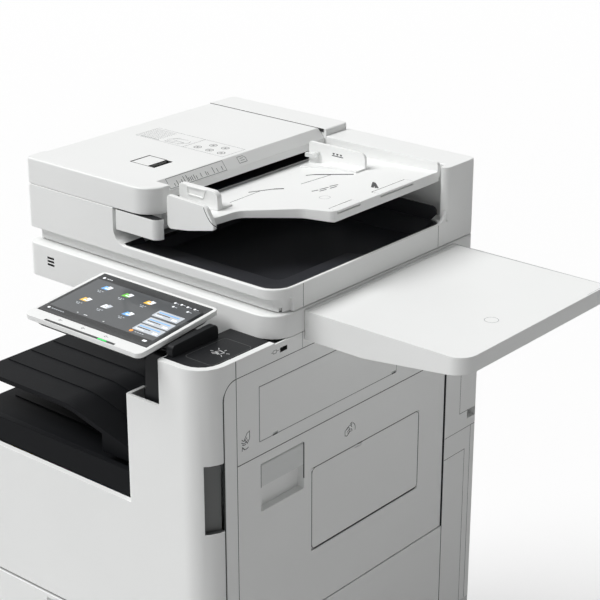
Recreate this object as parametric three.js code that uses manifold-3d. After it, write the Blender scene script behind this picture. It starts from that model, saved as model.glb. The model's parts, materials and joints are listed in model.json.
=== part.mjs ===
// An A3 office photocopier: a main unit on a two-cassette pedestal, with a
// document feeder, a tilting control panel and a utility tray on its right.
// Millimetres, +X to the machine's right, +Y to its back, +Z up.
import * as THREE from 'three';
import { mergeVertices } from 'three/addons/utils/BufferGeometryUtils.js';
import Module from 'manifold-3d';

const wasm = await Module();
wasm.setup();

// ---- Driving dimensions -------------------------------------------------
const fit = 0.3; // clearance between pieces that lie against each other
const skin = 3; // wall of a moulded cover
const seam = 3; // visible gap between cassette fronts

const bodyWidth = 565;
const bodyDepth = 722;

// Casters.
const wheelRadius = 30;
const wheelWidth = 22;
const wheelClearance = 1;
const crownGap = 4; // over the wheel, under the fork's crown
const crownThickness = 13;
const casterTrail = 14;
const casterInset = 75;
const casterFrontY = 112;
const footInset = 150;

// Heights, from the floor up.
const floorClearance = wheelClearance + 2 * wheelRadius + crownGap + crownThickness;
const pedestalBase = 18;
const deckSheet = 12;
const midSheet = 8;
const cassetteFace = 85;
const frontCoverHeight = 246;
const outputHeight = 243;
const scannerHeight = 59.7;
const lidGap = 1.6;
const lidBandHeight = 24; // lower, inset band round the lid's front
const rimHeight = 40.4; // lid underside to the rim of its output recess
const coverSeamHeight = 102; // lid underside to the feeder cover's seam
const feederHeight = 147.4;

// Depths, from the front cover's face back.
const scannerFront = 162;
const rearSetback = 32; // from the body's rear to the scanner's and lid's rear
const pillarDepth = 72; // front cover's return at the pillar's top
const coverReturn = 44.3; // front cover's return below it
const framePlateY = 60;
const frameSheet = 8;
const frameRearInset = 72;

// Widths, measured from the right side.
const pillarWidth = 96;
const pillarBaseWidth = 167;
const exitWallInset = 95;
const railInset = 24;
const cornerRadius = 48;
const lidRadius = 41;
const smallRadius = 12;

const pillarRise = 22; // pillar's top above the scanner's underside
const notchDrop = 77; // pillar's top to the notch beside it

// Feeder.
const feederReach = 282; // left side to the entry fascia
const coverShoulder = 299; // left side to the cover's front shoulder
const coverTopReach = 268;
const lidBlockReach = 210; // left side to the edge of the output recess
const trayRightInset = 24;
const trayDrop = 24; // feeder top to the document tray's rim

// Control panel.
const panelWidth = 257;
const panelLength = 178;
const panelTilt = 6.3; // degrees above level at rest
const panelRightInset = 98;
const panelFrontOverhang = 33.5;
const panelFrontDrop = 20; // lid gap to the panel's front top edge
const bezelThickness = 9;
const panelBackThickness = 13;
const panelBarrel = 9; // radius of the hinge barrel
const panelPivotLength = 58; // along the panel, from its front edge

// Right-hand side.
const sideSplitDrop = 155.8; // scanner's underside to the seam over the right door
const doorThickness = 18;
const doorRear = 621.7;
const bypassFront = 251;
const bypassRear = 542;
const bypassDrop = 73; // that seam to the bypass tray's top edge
const bypassHeight = 150;
const bypassThickness = 6;
const gripFront = 127;
const gripRear = 230;
const gripDrop = 17.5;
const gripHeight = 40;

// Utility tray.
const utilityReach = 304;
const utilityFront = 231;
const utilityRear = 633;
const utilityThickness = 49;
const utilityEdge = 27;

// ---- Derived levels -----------------------------------------------------
const bayHeight = 2 * cassetteFace + 3 * seam;
const pedestalFloor = floorClearance + pedestalBase;
const pedestalTop = pedestalFloor + bayHeight + deckSheet;
const mainFloor = pedestalTop + fit + deckSheet;
const midDeck = mainFloor + bayHeight;
const midDeckTop = midDeck + midSheet;
const coverBottom = midDeck + 2;
const coverTop = coverBottom + frontCoverHeight;
const scannerBottom = coverTop + outputHeight;
const pillarTop = scannerBottom + pillarRise;
const notchTop = pillarTop - notchDrop;
const scannerTop = scannerBottom + scannerHeight;
const lidBottom = scannerTop + lidGap;
const lidBandTop = lidBottom + lidBandHeight;
const rimTop = lidBottom + rimHeight;
const coverSeam = lidBottom + coverSeamHeight;
const feederTop = lidBottom + feederHeight;
const lidRear = bodyDepth - rearSetback;
const frameRear = bodyDepth - frameRearInset;
const panelTop = scannerTop - panelFrontDrop;
const sideSplit = scannerBottom - sideSplitDrop;
const bypassTop = sideSplit - bypassDrop;
const bypassBottom = bypassTop - bypassHeight;
const gripTop = sideSplit - gripDrop;
const gripBottom = gripTop - gripHeight;
const rightEdge = bodyWidth;
const pillarLeft = rightEdge - pillarWidth;
const pillarBaseLeft = rightEdge - pillarBaseWidth;
const railX = rightEdge - railInset;
const exitWall = rightEdge - exitWallInset;

// ---- Finishes -----------------------------------------------------------
const finish = (color, roughness, metalness = 0) =>
  new THREE.MeshStandardMaterial({ color, roughness, metalness });
const white = finish(0xf1f2f0, 0.5);
const grey = finish(0xdcdedc, 0.55);
const black = finish(0x232426, 0.6);
const darkGrey = finish(0x55585a, 0.6);
const steel = finish(0xa9adb0, 0.35, 0.9);
const glass = finish(0x20262a, 0.08);
const rubber = finish(0x2b2b2b, 0.85);
const blue = finish(0x2f5f9e, 0.5);
const tonerColours = [0xe8c21f, 0xb8307c, 0x2a78b8, 0x1d1d1f].map((c) => finish(c, 0.5));

// ---- Solids -------------------------------------------------------------
const solidOf = (geometry) => {
  geometry.deleteAttribute('normal');
  geometry.deleteAttribute('uv');
  const welded = mergeVertices(geometry, 1e-4);
  return new wasm.Manifold(
    new wasm.Mesh({
      numProp: 3,
      vertProperties: Float32Array.from(welded.attributes.position.array),
      triVerts: Uint32Array.from(welded.index.array),
    }),
  );
};

const geometryOf = (solid) => {
  const mesh = solid.getMesh();
  const geometry = new THREE.BufferGeometry();
  geometry.setAttribute('position', new THREE.BufferAttribute(mesh.vertProperties, 3));
  geometry.setIndex(new THREE.BufferAttribute(mesh.triVerts, 1));
  geometry.computeVertexNormals();
  return geometry;
};

const box = (x0, x1, y0, y1, z0, z1) =>
  solidOf(
    new THREE.BoxGeometry(x1 - x0, y1 - y0, z1 - z0).translate(
      (x0 + x1) / 2,
      (y0 + y1) / 2,
      (z0 + z1) / 2,
    ),
  );

// A closed outline of [a, b, radius] corners; a radius rounds its corner.
const arcStep = Math.PI / 10;
const outline = (corners) => {
  const points = [];
  corners.forEach(([a, b, radius = 0], i) => {
    const here = new THREE.Vector2(a, b);
    if (radius === 0) {
      points.push(here);
      return;
    }
    const [beforeA, beforeB] = corners.at(i - 1);
    const [afterA, afterB] = corners[(i + 1) % corners.length];
    const before = new THREE.Vector2(beforeA, beforeB).sub(here).normalize();
    const after = new THREE.Vector2(afterA, afterB).sub(here).normalize();
    const half = Math.acos(THREE.MathUtils.clamp(before.dot(after), -1, 1)) / 2;
    const start = before.clone().multiplyScalar(radius / Math.tan(half)).add(here);
    const middle = before.clone().add(after).normalize().multiplyScalar(radius / Math.sin(half)).add(here);
    const turn = Math.PI - 2 * half;
    const sense = before.cross(after) > 0 ? -1 : 1;
    const steps = Math.max(2, Math.round(turn / arcStep));
    for (let k = 0; k <= steps; k += 1) {
      points.push(start.clone().rotateAround(middle, (sense * turn * k) / steps));
    }
  });
  return points;
};

const circle = (a, b, radius, sides = 20) =>
  Array.from({ length: sides }, (_, k) => {
    const angle = (2 * Math.PI * k) / sides;
    return new THREE.Vector2(a + radius * Math.cos(angle), b + radius * Math.sin(angle));
  });

// Extrudes an outline: drawn in XY along z, in XZ along y, or in YZ along x.
const prism = (along, points, from, to) => {
  const geometry = new THREE.ExtrudeGeometry(new THREE.Shape(points), {
    depth: to - from,
    bevelEnabled: false,
  });
  const turn = new THREE.Matrix4();
  if (along === 'y') {
    turn.makeBasis(new THREE.Vector3(1, 0, 0), new THREE.Vector3(0, 0, 1), new THREE.Vector3(0, -1, 0));
    turn.setPosition(0, to, 0);
  } else if (along === 'x') {
    turn.makeBasis(new THREE.Vector3(0, 1, 0), new THREE.Vector3(0, 0, 1), new THREE.Vector3(1, 0, 0));
    turn.setPosition(from, 0, 0);
  } else {
    turn.setPosition(0, 0, from);
  }
  return solidOf(geometry.applyMatrix4(turn));
};

const rod = (along, a, b, radius, from, to, sides) => prism(along, circle(a, b, radius, sides), from, to);

const join = (...solids) => solids.reduce((whole, next) => whole.add(next));
const cut = (solid, ...tools) => tools.reduce((rest, tool) => rest.subtract(tool), solid);

// Joins two outlines of the same number of points with a sloping wall.
const loft = (lower, z0, upper, z1) => {
  const count = lower.length;
  const vertices = [
    ...lower.flatMap((p) => [p.x, p.y, z0]),
    ...upper.flatMap((p) => [p.x, p.y, z1]),
  ];
  const faces = THREE.ShapeUtils.triangulateShape(lower, []);
  const index = faces.flatMap(([a, b, c]) => [a, c, b]);
  faces.forEach(([a, b, c]) => index.push(a + count, b + count, c + count));
  for (let i = 0; i < count; i += 1) {
    const next = (i + 1) % count;
    index.push(i, next, next + count, i, next + count, i + count);
  }
  const geometry = new THREE.BufferGeometry();
  geometry.setAttribute('position', new THREE.Float32BufferAttribute(vertices, 3));
  geometry.setIndex(index);
  return solidOf(geometry);
};

// ---- Scene graph --------------------------------------------------------
const machine = new THREE.Group();
const pivots = new Map([[machine, new THREE.Vector3()]]);

// A group whose own place is the axis or seat that its pieces move about.
const assembly = (x, y, z, parent = machine) => {
  const group = new THREE.Group();
  const pivot = new THREE.Vector3(x, y, z);
  group.position.copy(pivot).sub(pivots.get(parent));
  pivots.set(group, pivot);
  parent.add(group);
  return group;
};

// Adds a solid that is drawn in the machine's own coordinates.
const add = (parent, name, material, solid) => {
  const pivot = pivots.get(parent);
  const mesh = new THREE.Mesh(geometryOf(solid).translate(-pivot.x, -pivot.y, -pivot.z), material);
  mesh.name = name;
  parent.add(mesh);
  return mesh;
};

// Adds a solid that is drawn about its own reference point.
const addAt = (parent, name, material, solid, x, y, z) => {
  const mesh = new THREE.Mesh(geometryOf(solid), material);
  mesh.name = name;
  mesh.position.set(x, y, z);
  parent.add(mesh);
  return mesh;
};

// ---- Pedestal, casters and cassettes ------------------------------------
const frontDepth = 20; // thickness of a cassette front
const cornerPost = cornerRadius + 4; // width of the fixed front-right corner
const ledgeHeight = 38; // cassette underside to its running flange
const bayLeft = 20;
const bayRight = rightEdge - cornerPost - 4;
const cassetteInset = 12; // bay wall to the cassette's tray
const cassetteRear = bodyDepth - 82;

// The room left by the covers, with their rounded front right corner.
const insideCovers = (front, z0, z1) =>
  prism('z', outline([
    [0, front],
    [rightEdge - skin - fit, front, cornerRadius - skin - fit],
    [rightEdge - skin - fit, bodyDepth],
    [0, bodyDepth],
  ]), z0, z1);

const ledges = (floor) => {
  const rows = [0, 1].map((i) => floor + seam + i * (cassetteFace + seam) + ledgeHeight);
  return rows.flatMap((z) => [
    box(bayLeft - 1, bayLeft + 10, framePlateY + frameSheet, frameRear - 8, z - 3, z),
    box(bayRight - 10, bayRight + 1, framePlateY + frameSheet, frameRear - 8, z - 3, z),
  ]);
};

function pedestalFrame() {
  const footY = [casterFrontY - 40, bodyDepth - casterFrontY + 40];
  const feet = [footInset, bodyWidth - footInset].flatMap((x) =>
    footY.flatMap((y) => [
      rod('z', x, y, 22, 0, 8),
      rod('z', x, y, 8, 7, floorClearance + 1, 12),
      rod('z', x, y, 18, floorClearance - 30, floorClearance + 1, 16),
    ]),
  );
  const shell = cut(
    box(0, rightEdge, frontDepth + fit, bodyDepth, floorClearance, pedestalTop).intersect(
      insideCovers(skin + fit, floorClearance, pedestalTop),
    ),
    box(bayLeft, bayRight, 0, frameRear, pedestalFloor, pedestalTop - deckSheet),
  );
  return join(shell, ...ledges(pedestalFloor), ...feet);
}

// A cassette, about the lower left corner of its front.
function cassette() {
  const right = rightEdge - cornerPost - seam;
  const plan = outline([[0, 0, 10], [right, 0], [right, frontDepth], [0, frontDepth]]);
  const front = prism('z', plan, 0, cassetteFace);
  const grip = box(right / 2 - 70, right / 2 + 70, -1, 14, cassetteFace - 34, cassetteFace - 8);
  const x0 = bayLeft + cassetteInset;
  const x1 = bayRight - cassetteInset;
  const tray = cut(
    box(x0, x1, frontDepth - 1, cassetteRear, 4, 62),
    box(x0 + skin, x1 - skin, frontDepth + skin, cassetteRear - skin, 4 + skin, 63),
  );
  const flangeZ = ledgeHeight + fit;
  const flanges = [
    box(bayLeft + 1, x0 + 1, framePlateY + frameSheet, cassetteRear, flangeZ, flangeZ + 4),
    box(x1 - 1, bayRight - 1, framePlateY + frameSheet, cassetteRear, flangeZ, flangeZ + 4),
  ];
  return join(cut(front, grip), tray, ...flanges);
}

function casterFork() {
  const axle = wheelRadius + wheelClearance;
  const crownBottom = axle + wheelRadius + crownGap;
  const crownTop = floorClearance - fit;
  const leg = outline([
    [-16, crownTop - 2],
    [16, crownTop - 2],
    [casterTrail + 8, axle - 7, 4],
    [casterTrail - 8, axle - 7, 4],
  ]);
  const inner = wheelWidth / 2 + 1;
  return join(
    rod('z', 0, 0, 22, crownBottom, crownTop),
    prism('x', leg, -inner - skin, -inner),
    prism('x', leg, inner, inner + skin),
    rod('x', casterTrail, axle, 4, -inner - 1, inner + 1, 12),
  );
}

const casterWheel = () =>
  cut(
    rod('x', 0, 0, wheelRadius, -wheelWidth / 2, wheelWidth / 2, 24),
    rod('x', 0, 0, 4 + fit, -wheelWidth, wheelWidth, 12),
  );

// ---- Main frame and engine ----------------------------------------------
const tonerRadius = 36;
const tonerPitch = 95;
const tonerLeft = 74;
const tonerZ = coverTop - 62;
const tonerX = (i) => tonerLeft + i * tonerPitch;
const fuserX = exitWall + 26;
const fuserZ = coverTop + 53.7;
const fuserRadius = 14;
const exitSlots = [
  [coverTop + 122, coverTop + 138],
  [coverTop + 20, coverTop + 32],
];
const strutTop = scannerBottom - fit;

function mainFrame() {
  const left = skin + fit;
  const right = rightEdge - skin - fit;
  const plateBack = framePlateY + frameSheet;
  const holes = [0, 1, 2, 3].map((i) =>
    rod('y', tonerX(i), tonerZ, tonerRadius + fit, framePlateY - 5, plateBack + 5));
  const slots = exitSlots.map(([z0, z1]) => box(exitWall - 20, exitWall + 20, 130, frameRear - 90, z0, z1));
  const pinBore = rod('z', doorPivotX, doorPivotY, 3 + fit, doorBottom - 20, sideSplit + 20, 12);
  const frame = join(
    box(left, right, framePlateY - 36, bodyDepth - 4, pedestalTop + fit, mainFloor).intersect(
      insideCovers(skin + fit, pedestalTop, mainFloor),
    ),
    box(left, railX, framePlateY - 36, frameRear + 10, midDeck, midDeckTop),
    box(left, left + 12, framePlateY - 36, frameRear + 10, mainFloor - 1, coverTop - 12),
    box(bayRight + 8, right, framePlateY, frameRear + 10, mainFloor - 1, coverBottom - fit),
    box(bayLeft - 6, bayLeft + 1, framePlateY, frameRear, mainFloor - 1, midDeck + 1),
    box(bayRight - 1, bayRight + 9, framePlateY, frameRear, mainFloor - 1, midDeck + 1),
    ...ledges(mainFloor),
    cut(box(left, railX, framePlateY, plateBack, midDeckTop - 1, coverTop - 12), ...holes),
    box(pillarBaseLeft + 8, railX, framePlateY, plateBack, coverTop - 13, strutTop - 9),
    box(left, right, frameRear, frameRear + 10, mainFloor - 1, strutTop),
    box(left, exitWall, plateBack - 1, frameRear + 1, coverTop - 12, coverTop - 6),
    cut(box(exitWall - 8, exitWall, plateBack - 1, frameRear + 1, midDeckTop - 1, strutTop - 9), ...slots),
    box(exitWall - 8, railX, plateBack - 1, frameRear + 1, strutTop - 17, strutTop - 9),
    box(exitWall, exitWall + 10, scannerFront + 20, frameRear + 1, strutTop - 10, pillarTop - 2),
    box(railX - 10, railX, scannerFront + 20, frameRear + 1, strutTop - 10, pillarTop - 2),
    box(railX - 1, right, plateBack - 1, frameRear + 1, sideSplit + 2.5, sideSplit + 12),
    box(railX - 1, right, plateBack + 12, frameRear + 1, strutTop - 22, strutTop - 14),
    box(railX - 6, railX, framePlateY, plateBack, midDeckTop - 1, strutTop - 9),
    box(railX, right, doorRear - 22, doorRear + 2, coverBottom - 16, coverBottom - fit),
    ...hingeBrackets(),
  );
  return cut(frame, pinBore);
}

// Brackets at the foot of the front cover, bored for its pins.
const coverPivotY = 9;
const coverPivotZ = coverBottom + 8;
const coverPinX = [24, pillarBaseLeft + 40];

function hingeBrackets() {
  return coverPinX.map((x) =>
    cut(
      prism('x', outline([
        [coverPivotY - 5.4, coverPivotZ - 1],
        [coverPivotY - 5.4, coverPivotZ + 6, 4],
        [framePlateY + 1, coverPivotZ + 10],
        [framePlateY + 1, midDeckTop - 1],
        [coverPivotY + 14, midDeckTop - 1],
      ]), x, x + 12),
      rod('x', coverPivotY, coverPivotZ, 3 + fit, x - 1, x + 13, 12),
    ),
  );
}

// Heights of the drums and the belt between the deck and the toner bottles.
const drumZ = midDeckTop + 42;
const drumRadius = 15;
const beltRadius = 18;
const beltSpare = tonerZ - tonerRadius - drumZ - drumRadius - 2 * beltRadius;
const beltLift = beltSpare * (13 / 49);
const beltZ = drumZ + drumRadius + beltLift + beltRadius;

const drumUnit = () =>
  join(
    box(40, tonerX(3) + 50, 90, frameRear - 20, midDeckTop + fit, midDeckTop + 8),
    box(40, tonerX(3) + 50, 90, 96, midDeckTop + 7, midDeckTop + 60),
    box(40, tonerX(3) + 50, frameRear - 26, frameRear - 20, midDeckTop + 7, midDeckTop + 60),
    ...[0, 1, 2, 3].map((i) => rod('y', tonerX(i), drumZ, drumRadius, 95, frameRear - 25)),
  );

function transferBelt() {
  const x0 = tonerX(0) - 16;
  const x1 = tonerX(3) + 16;
  const bend = beltRadius - 0.1;
  const belt = outline([
    [x0 - beltRadius, beltZ - beltRadius, bend],
    [x1 + beltRadius, beltZ - beltRadius, bend],
    [x1 + beltRadius, beltZ + beltRadius, bend],
    [x0 - beltRadius, beltZ + beltRadius, bend],
  ]);
  const inside = box(x0 + 22, x1 - 22, 90, frameRear, beltZ - beltRadius + 2, beltZ + beltRadius - 2);
  return join(
    cut(prism('y', belt, 100, frameRear - 30), inside),
    rod('y', x0, beltZ, 6, framePlateY + frameSheet + fit, frameRear - fit, 12),
    rod('y', x1, beltZ, 6, framePlateY + frameSheet + fit, frameRear - fit, 12),
  );
}

function tonerBottle() {
  const length = 330;
  return join(
    rod('y', 0, 0, tonerRadius, -1, length),
    rod('y', 0, 0, 14, length - 1, length + 24, 16),
    cut(rod('y', 0, 0, tonerRadius + 2, -12, 0), box(-5, 5, -13, -6, -24, 24)),
  );
}

// The fuser: two rolls between end cheeks, on a tray.
function fuserUnit() {
  const y0 = framePlateY + 40;
  const y1 = frameRear - 60;
  const rolls = [fuserX, fuserX + 2 * fuserRadius + 2];
  return join(
    box(exitWall + fit, railX - 8, y0, y0 + 6, fuserZ - 26, fuserZ + 26),
    box(exitWall + fit, railX - 8, y1, y1 + 6, fuserZ - 26, fuserZ + 26),
    box(exitWall + fit, railX - 8, y0, y1 + 6, fuserZ - 30, fuserZ - 25),
    box(exitWall + fit, exitWall + 4, y0, y1 + 6, fuserZ - 30, fuserZ + 10),
    ...rolls.map((x) => rod('y', x, fuserZ, fuserRadius, y0 + 12, y1 - 6, 24)),
    ...rolls.map((x) => rod('y', x, fuserZ, 5, y0 + 1, y1 + 1, 12)),
  );
}

// ---- Outer covers -------------------------------------------------------
const columnFront = bodyDepth - 130; // rear column beside the output space

const leftCover = () =>
  prism(
    'x',
    outline([
      [frontDepth + fit, pedestalTop + fit],
      [bodyDepth, pedestalTop + fit],
      [bodyDepth, scannerBottom - fit],
      [columnFront, scannerBottom - fit],
      [columnFront, coverTop + 40, 18],
      [30, coverTop + 40, 8],
      [30, coverBottom],
      [frontDepth + fit, coverBottom],
    ]),
    0,
    skin,
  );

function rearCover() {
  const right = rightEdge - skin - fit;
  const panel = box(skin + fit, right, bodyDepth - skin, bodyDepth, pedestalTop + fit, scannerBottom - fit);
  const standoffs = [60, bodyWidth - 60].flatMap((x) =>
    [mainFloor + 60, coverTop - 80, scannerBottom - 40].map((z) =>
      rod('y', x, z, 8, frameRear + 10 + fit, bodyDepth - skin + 1, 12),
    ),
  );
  return join(panel, ...standoffs);
}

// Right-hand column behind the doors, with the carrying grip in its edge.
const gripHoleZ = sideSplit - 144;

function rightRearCover() {
  const y0 = doorRear + 0.6;
  const y1 = bodyDepth - skin - fit;
  const wall = outline([[rightEdge - skin, y0], [rightEdge, y0], [rightEdge, y1, 2], [rightEdge - skin, y1]]);
  return cut(
    join(
      prism('z', wall, pedestalTop + fit, scannerBottom + 18),
      box(rightEdge - 30, rightEdge - 1, bodyDepth - 44, y1, gripHoleZ - 6, gripHoleZ + 24),
    ),
    box(rightEdge - 26, rightEdge + 1, bodyDepth - 30, bodyDepth - 5, gripHoleZ, gripHoleZ + 18),
  );
}

const exitCoverY = [124, 474];
const exitCoverZ = [sideSplit + 23.5, sideSplit + 117.5];

function rightUpperCover() {
  const [y0, y1] = exitCoverY;
  const [z0, z1] = exitCoverZ;
  const inner = rightEdge - skin;
  const wall = box(inner, rightEdge, pillarDepth + fit, doorRear, sideSplit + 0.7, pillarTop - 2 - fit);
  const ledge = box(inner - skin - fit, inner + 0.1, y0 - 8, y1 + 8, z0 - 8, z1 + 8);
  const capLeft = rightEdge - plateLip + 0.8;
  const cap = box(capLeft, rightEdge, pillarDepth + fit, scannerFront - fit, pillarTop - skin, pillarTop);
  const usb = box(rightEdge - 9, rightEdge + 1, 174, 190, pillarTop - 19, pillarTop - 12);
  const usbShell = box(rightEdge - 8, rightEdge - 1, 171, 193, pillarTop - 22, pillarTop - 9);
  return cut(
    join(wall, ledge, cap, usbShell),
    box(rightEdge - skin, rightEdge + 1, y0, y1, z0, z1),
    box(rightEdge - 2 * skin - 1, rightEdge + 1, y0 + 12, y1 - 12, z0 + 10, z1 - 10),
    usb,
  );
}

function sideExitCover() {
  const [y0, y1] = exitCoverY;
  const [z0, z1] = exitCoverZ;
  const hook = (y) => box(rightEdge - skin - 1, rightEdge + 1, y, y + 12, z0 + 1.5, z0 + 3.5);
  return cut(
    box(rightEdge - skin + fit, rightEdge, y0 + 0.5, y1 - 0.5, z0 + 0.5, z1 - 0.5),
    hook(156),
    hook(460),
  );
}

// The strip between the front cover and the right door, with the fixed
// corner beside the main unit's cassettes.
const stripTop = sideSplit + 148;
const stripRadius = 27;

const cornerPlan = (rear) => [
  [rightEdge - cornerPost, 0],
  [rightEdge, 0, cornerRadius],
  [rightEdge, rear],
  [rightEdge - skin, rear],
  [rightEdge - skin, skin, cornerRadius - skin],
  [rightEdge - cornerPost, skin],
];

const cornerCover = (z0, z1) => prism('z', outline(cornerPlan(doorRear)), z0, z1);

const rightFrontCover = () =>
  join(
    cornerCover(pedestalTop + 1, midDeck - 0.7),
    prism(
      'x',
      outline([
        [coverReturn + fit, midDeck - 2],
        [pillarDepth - fit, midDeck - 2],
        [pillarDepth - fit, stripTop - fit],
        [coverReturn + fit, stripTop - fit, stripRadius],
      ]),
      rightEdge - skin,
      rightEdge,
    ),
  );

// ---- Pillar and front cover ---------------------------------------------
const plateLip = 12.5; // width of the white rim around the card reader plate
const plateRadius = cornerRadius - plateLip + 0.5;
const notchLip = 7;
const coreFront = 12;

function pillarCore() {
  const right = rightEdge - 45;
  const rear = framePlateY - fit;
  const low = box(pillarBaseLeft + notchLip, right, coreFront, rear, coverTop + 2, notchTop - 34);
  const left = pillarLeft + skin + fit;
  const tall = box(left, right, coreFront, rear, coverTop + 2, strutTop - 8);
  const head = box(left, rightEdge, coreFront, scannerFront - fit, strutTop - 9 + fit, pillarTop - 6)
    .intersect(insideCovers(skin + 1, strutTop - 10, pillarTop));
  return join(low, tall, head);
}

// Black plate on the pillar, with the low cheek beside the panel.
function cardReaderPlate() {
  const x0 = pillarLeft + skin;
  const x1 = rightEdge - plateLip;
  const plan = outline([
    [x0, plateLip],
    [x1, plateLip, plateRadius],
    [x1, scannerFront - fit],
    [x0, scannerFront - fit],
  ]);
  const cheek = outline([
    [20, pillarTop - 1],
    [20, pillarTop + 18, 8],
    [122, pillarTop + 24, 10],
    [122, pillarTop - 1],
  ]);
  return join(
    prism('z', plan, pillarTop - 6 + fit, pillarTop),
    prism('x', cheek, x0, x0 + 12),
  );
}

const gripPocketZ = [coverTop - 12, coverTop + 105];

function frontCover() {
  const wrap = (x0, radius, leftReturn, rightReturn, z0, z1) => {
    const outer = outline([
      [x0, 0, radius],
      [rightEdge, 0, cornerRadius],
      [rightEdge, rightReturn],
      [rightEdge - skin, rightReturn],
      [rightEdge - skin, skin, cornerRadius - skin],
      [x0 + skin, skin, radius - skin],
      [x0 + skin, leftReturn],
      [x0, leftReturn],
    ]);
    return prism('z', outer, z0, z1);
  };
  const [pocketZ0, pocketZ1] = gripPocketZ;
  const cap = (points, z) => prism('z', outline(points), z - skin, z);
  const shell = join(
    wrap(0, 10, 28, pillarDepth, coverPivotZ, coverTop),
    box(0.01, rightEdge - cornerRadius, 0, skin, coverBottom + fit, coverPivotZ + 1),
    wrap(pillarBaseLeft, 6, 40, pillarDepth, coverTop - 1, notchTop),
    wrap(pillarLeft, 6, 40, pillarDepth, notchTop - 1, pillarTop),
    cap([[0, 0, 10], [pillarBaseLeft + 10, 0], [pillarBaseLeft + 10, 11], [skin - 1, 11], [0, 11]], coverTop),
    cap(
      [
        [pillarBaseLeft, 0, 6],
        [pillarLeft + 4, 0],
        [pillarLeft + 4, notchLip],
        [pillarBaseLeft + notchLip, notchLip],
        [pillarBaseLeft + notchLip, 40],
        [pillarBaseLeft, 40],
      ],
      notchTop,
    ),
    cap(
      [
        [pillarLeft, 0, 6],
        [rightEdge, 0, cornerRadius],
        [rightEdge, pillarDepth],
        [rightEdge - plateLip + fit, pillarDepth],
        [rightEdge - plateLip + fit, plateLip - fit, plateRadius],
        [pillarLeft + skin - 0.1, plateLip - fit],
        [pillarLeft, plateLip - fit],
      ],
      pillarTop,
    ),
    ...coverPinX.map((x) => rod('x', coverPivotY, coverPivotZ, 3, x - 6, x + 12, 12)),
    ...coverPinX.map((x) => box(x - 7, x - 1, 1, coverPivotY + 4, coverPivotZ - 5, coverPivotZ + 5)),
    box(rightEdge - 42, rightEdge - skin + 0.1, skin - 0.1, coverReturn, pocketZ0 - 4, pocketZ1 + 4),
  );
  const envelope = prism('z', outline([
    [-1, 0], [rightEdge, 0, cornerRadius], [rightEdge, 100], [-1, 100]]), coverBottom, pillarTop);
  return cut(
    shell.intersect(envelope),
    prism('x', outline([
      [coverReturn, coverBottom - 1],
      [pillarDepth + 9, coverBottom - 1],
      [pillarDepth + 9, stripTop],
      [coverReturn, stripTop, stripRadius + fit],
    ]), rightEdge - 60, rightEdge + 1),
    box(rightEdge - 26, rightEdge + 1, 14, coverReturn + 1, pocketZ0, pocketZ1),
  );
}

// ---- Output trays -------------------------------------------------------
const trayFront = 35;
const trayRear = frameRear - fit;
const upperTrayTop = coverTop + 105;

function upperTray() {
  const right = exitWall - 8 - fit;
  const knee = pillarBaseLeft - 173;
  const low = upperTrayTop - 43;
  const sheet = 9;
  const plate = outline([
    [skin + fit, upperTrayTop, 3],
    [skin + fit, upperTrayTop - sheet, 3],
    [knee - 2, upperTrayTop - sheet, 160],
    [pillarBaseLeft - 4, low - sheet, 60],
    [right, low - sheet - 6],
    [right, low - 6],
    [pillarBaseLeft, low, 60],
    [knee, upperTrayTop, 160],
  ]);
  const skirtLeft = pillarBaseLeft - 95;
  const skirt = outline([
    [skirtLeft, lowerTrayTop + fit],
    [pillarBaseLeft - 2, lowerTrayTop + fit],
    [pillarBaseLeft - 2, low - 2],
    [skirtLeft, upperTrayTop - 22],
  ]);
  return cut(
    join(prism('y', plate, trayFront, trayRear), prism('y', skirt, trayFront, trayFront + 12)),
    pillarRoom(),
  );
}

const lowerTrayTop = coverTop + 44;

const pillarRoom = () =>
  box(pillarBaseLeft - 0.6, rightEdge, -1, framePlateY + frameSheet + fit, coverTop - 1, scannerBottom);

function lowerTray() {
  const right = exitWall - 8 - fit;
  const floor = outline([
    [skin + fit, lowerTrayTop],
    [skin + fit, lowerTrayTop - 6],
    [200, lowerTrayTop - 8],
    [right, coverTop + 6],
    [right, coverTop + 12],
    [200, lowerTrayTop - 2],
  ]);
  const front = outline([
    [11.5, coverTop + fit],
    [18, coverTop + fit],
    [26, lowerTrayTop],
    [14, lowerTrayTop],
  ]);
  return cut(
    join(prism('y', floor, 20, trayRear), prism('x', front, skin + fit, pillarBaseLeft)),
    pillarRoom(),
  );
}

// ---- Scanner ------------------------------------------------------------
const glassX = [90, 522];
const glassY = [200, 500];
const scannerStep = 20.3; // the right end's underside is this much higher
const carriageZ = scannerBottom + 30;
const railY = 230;

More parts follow.
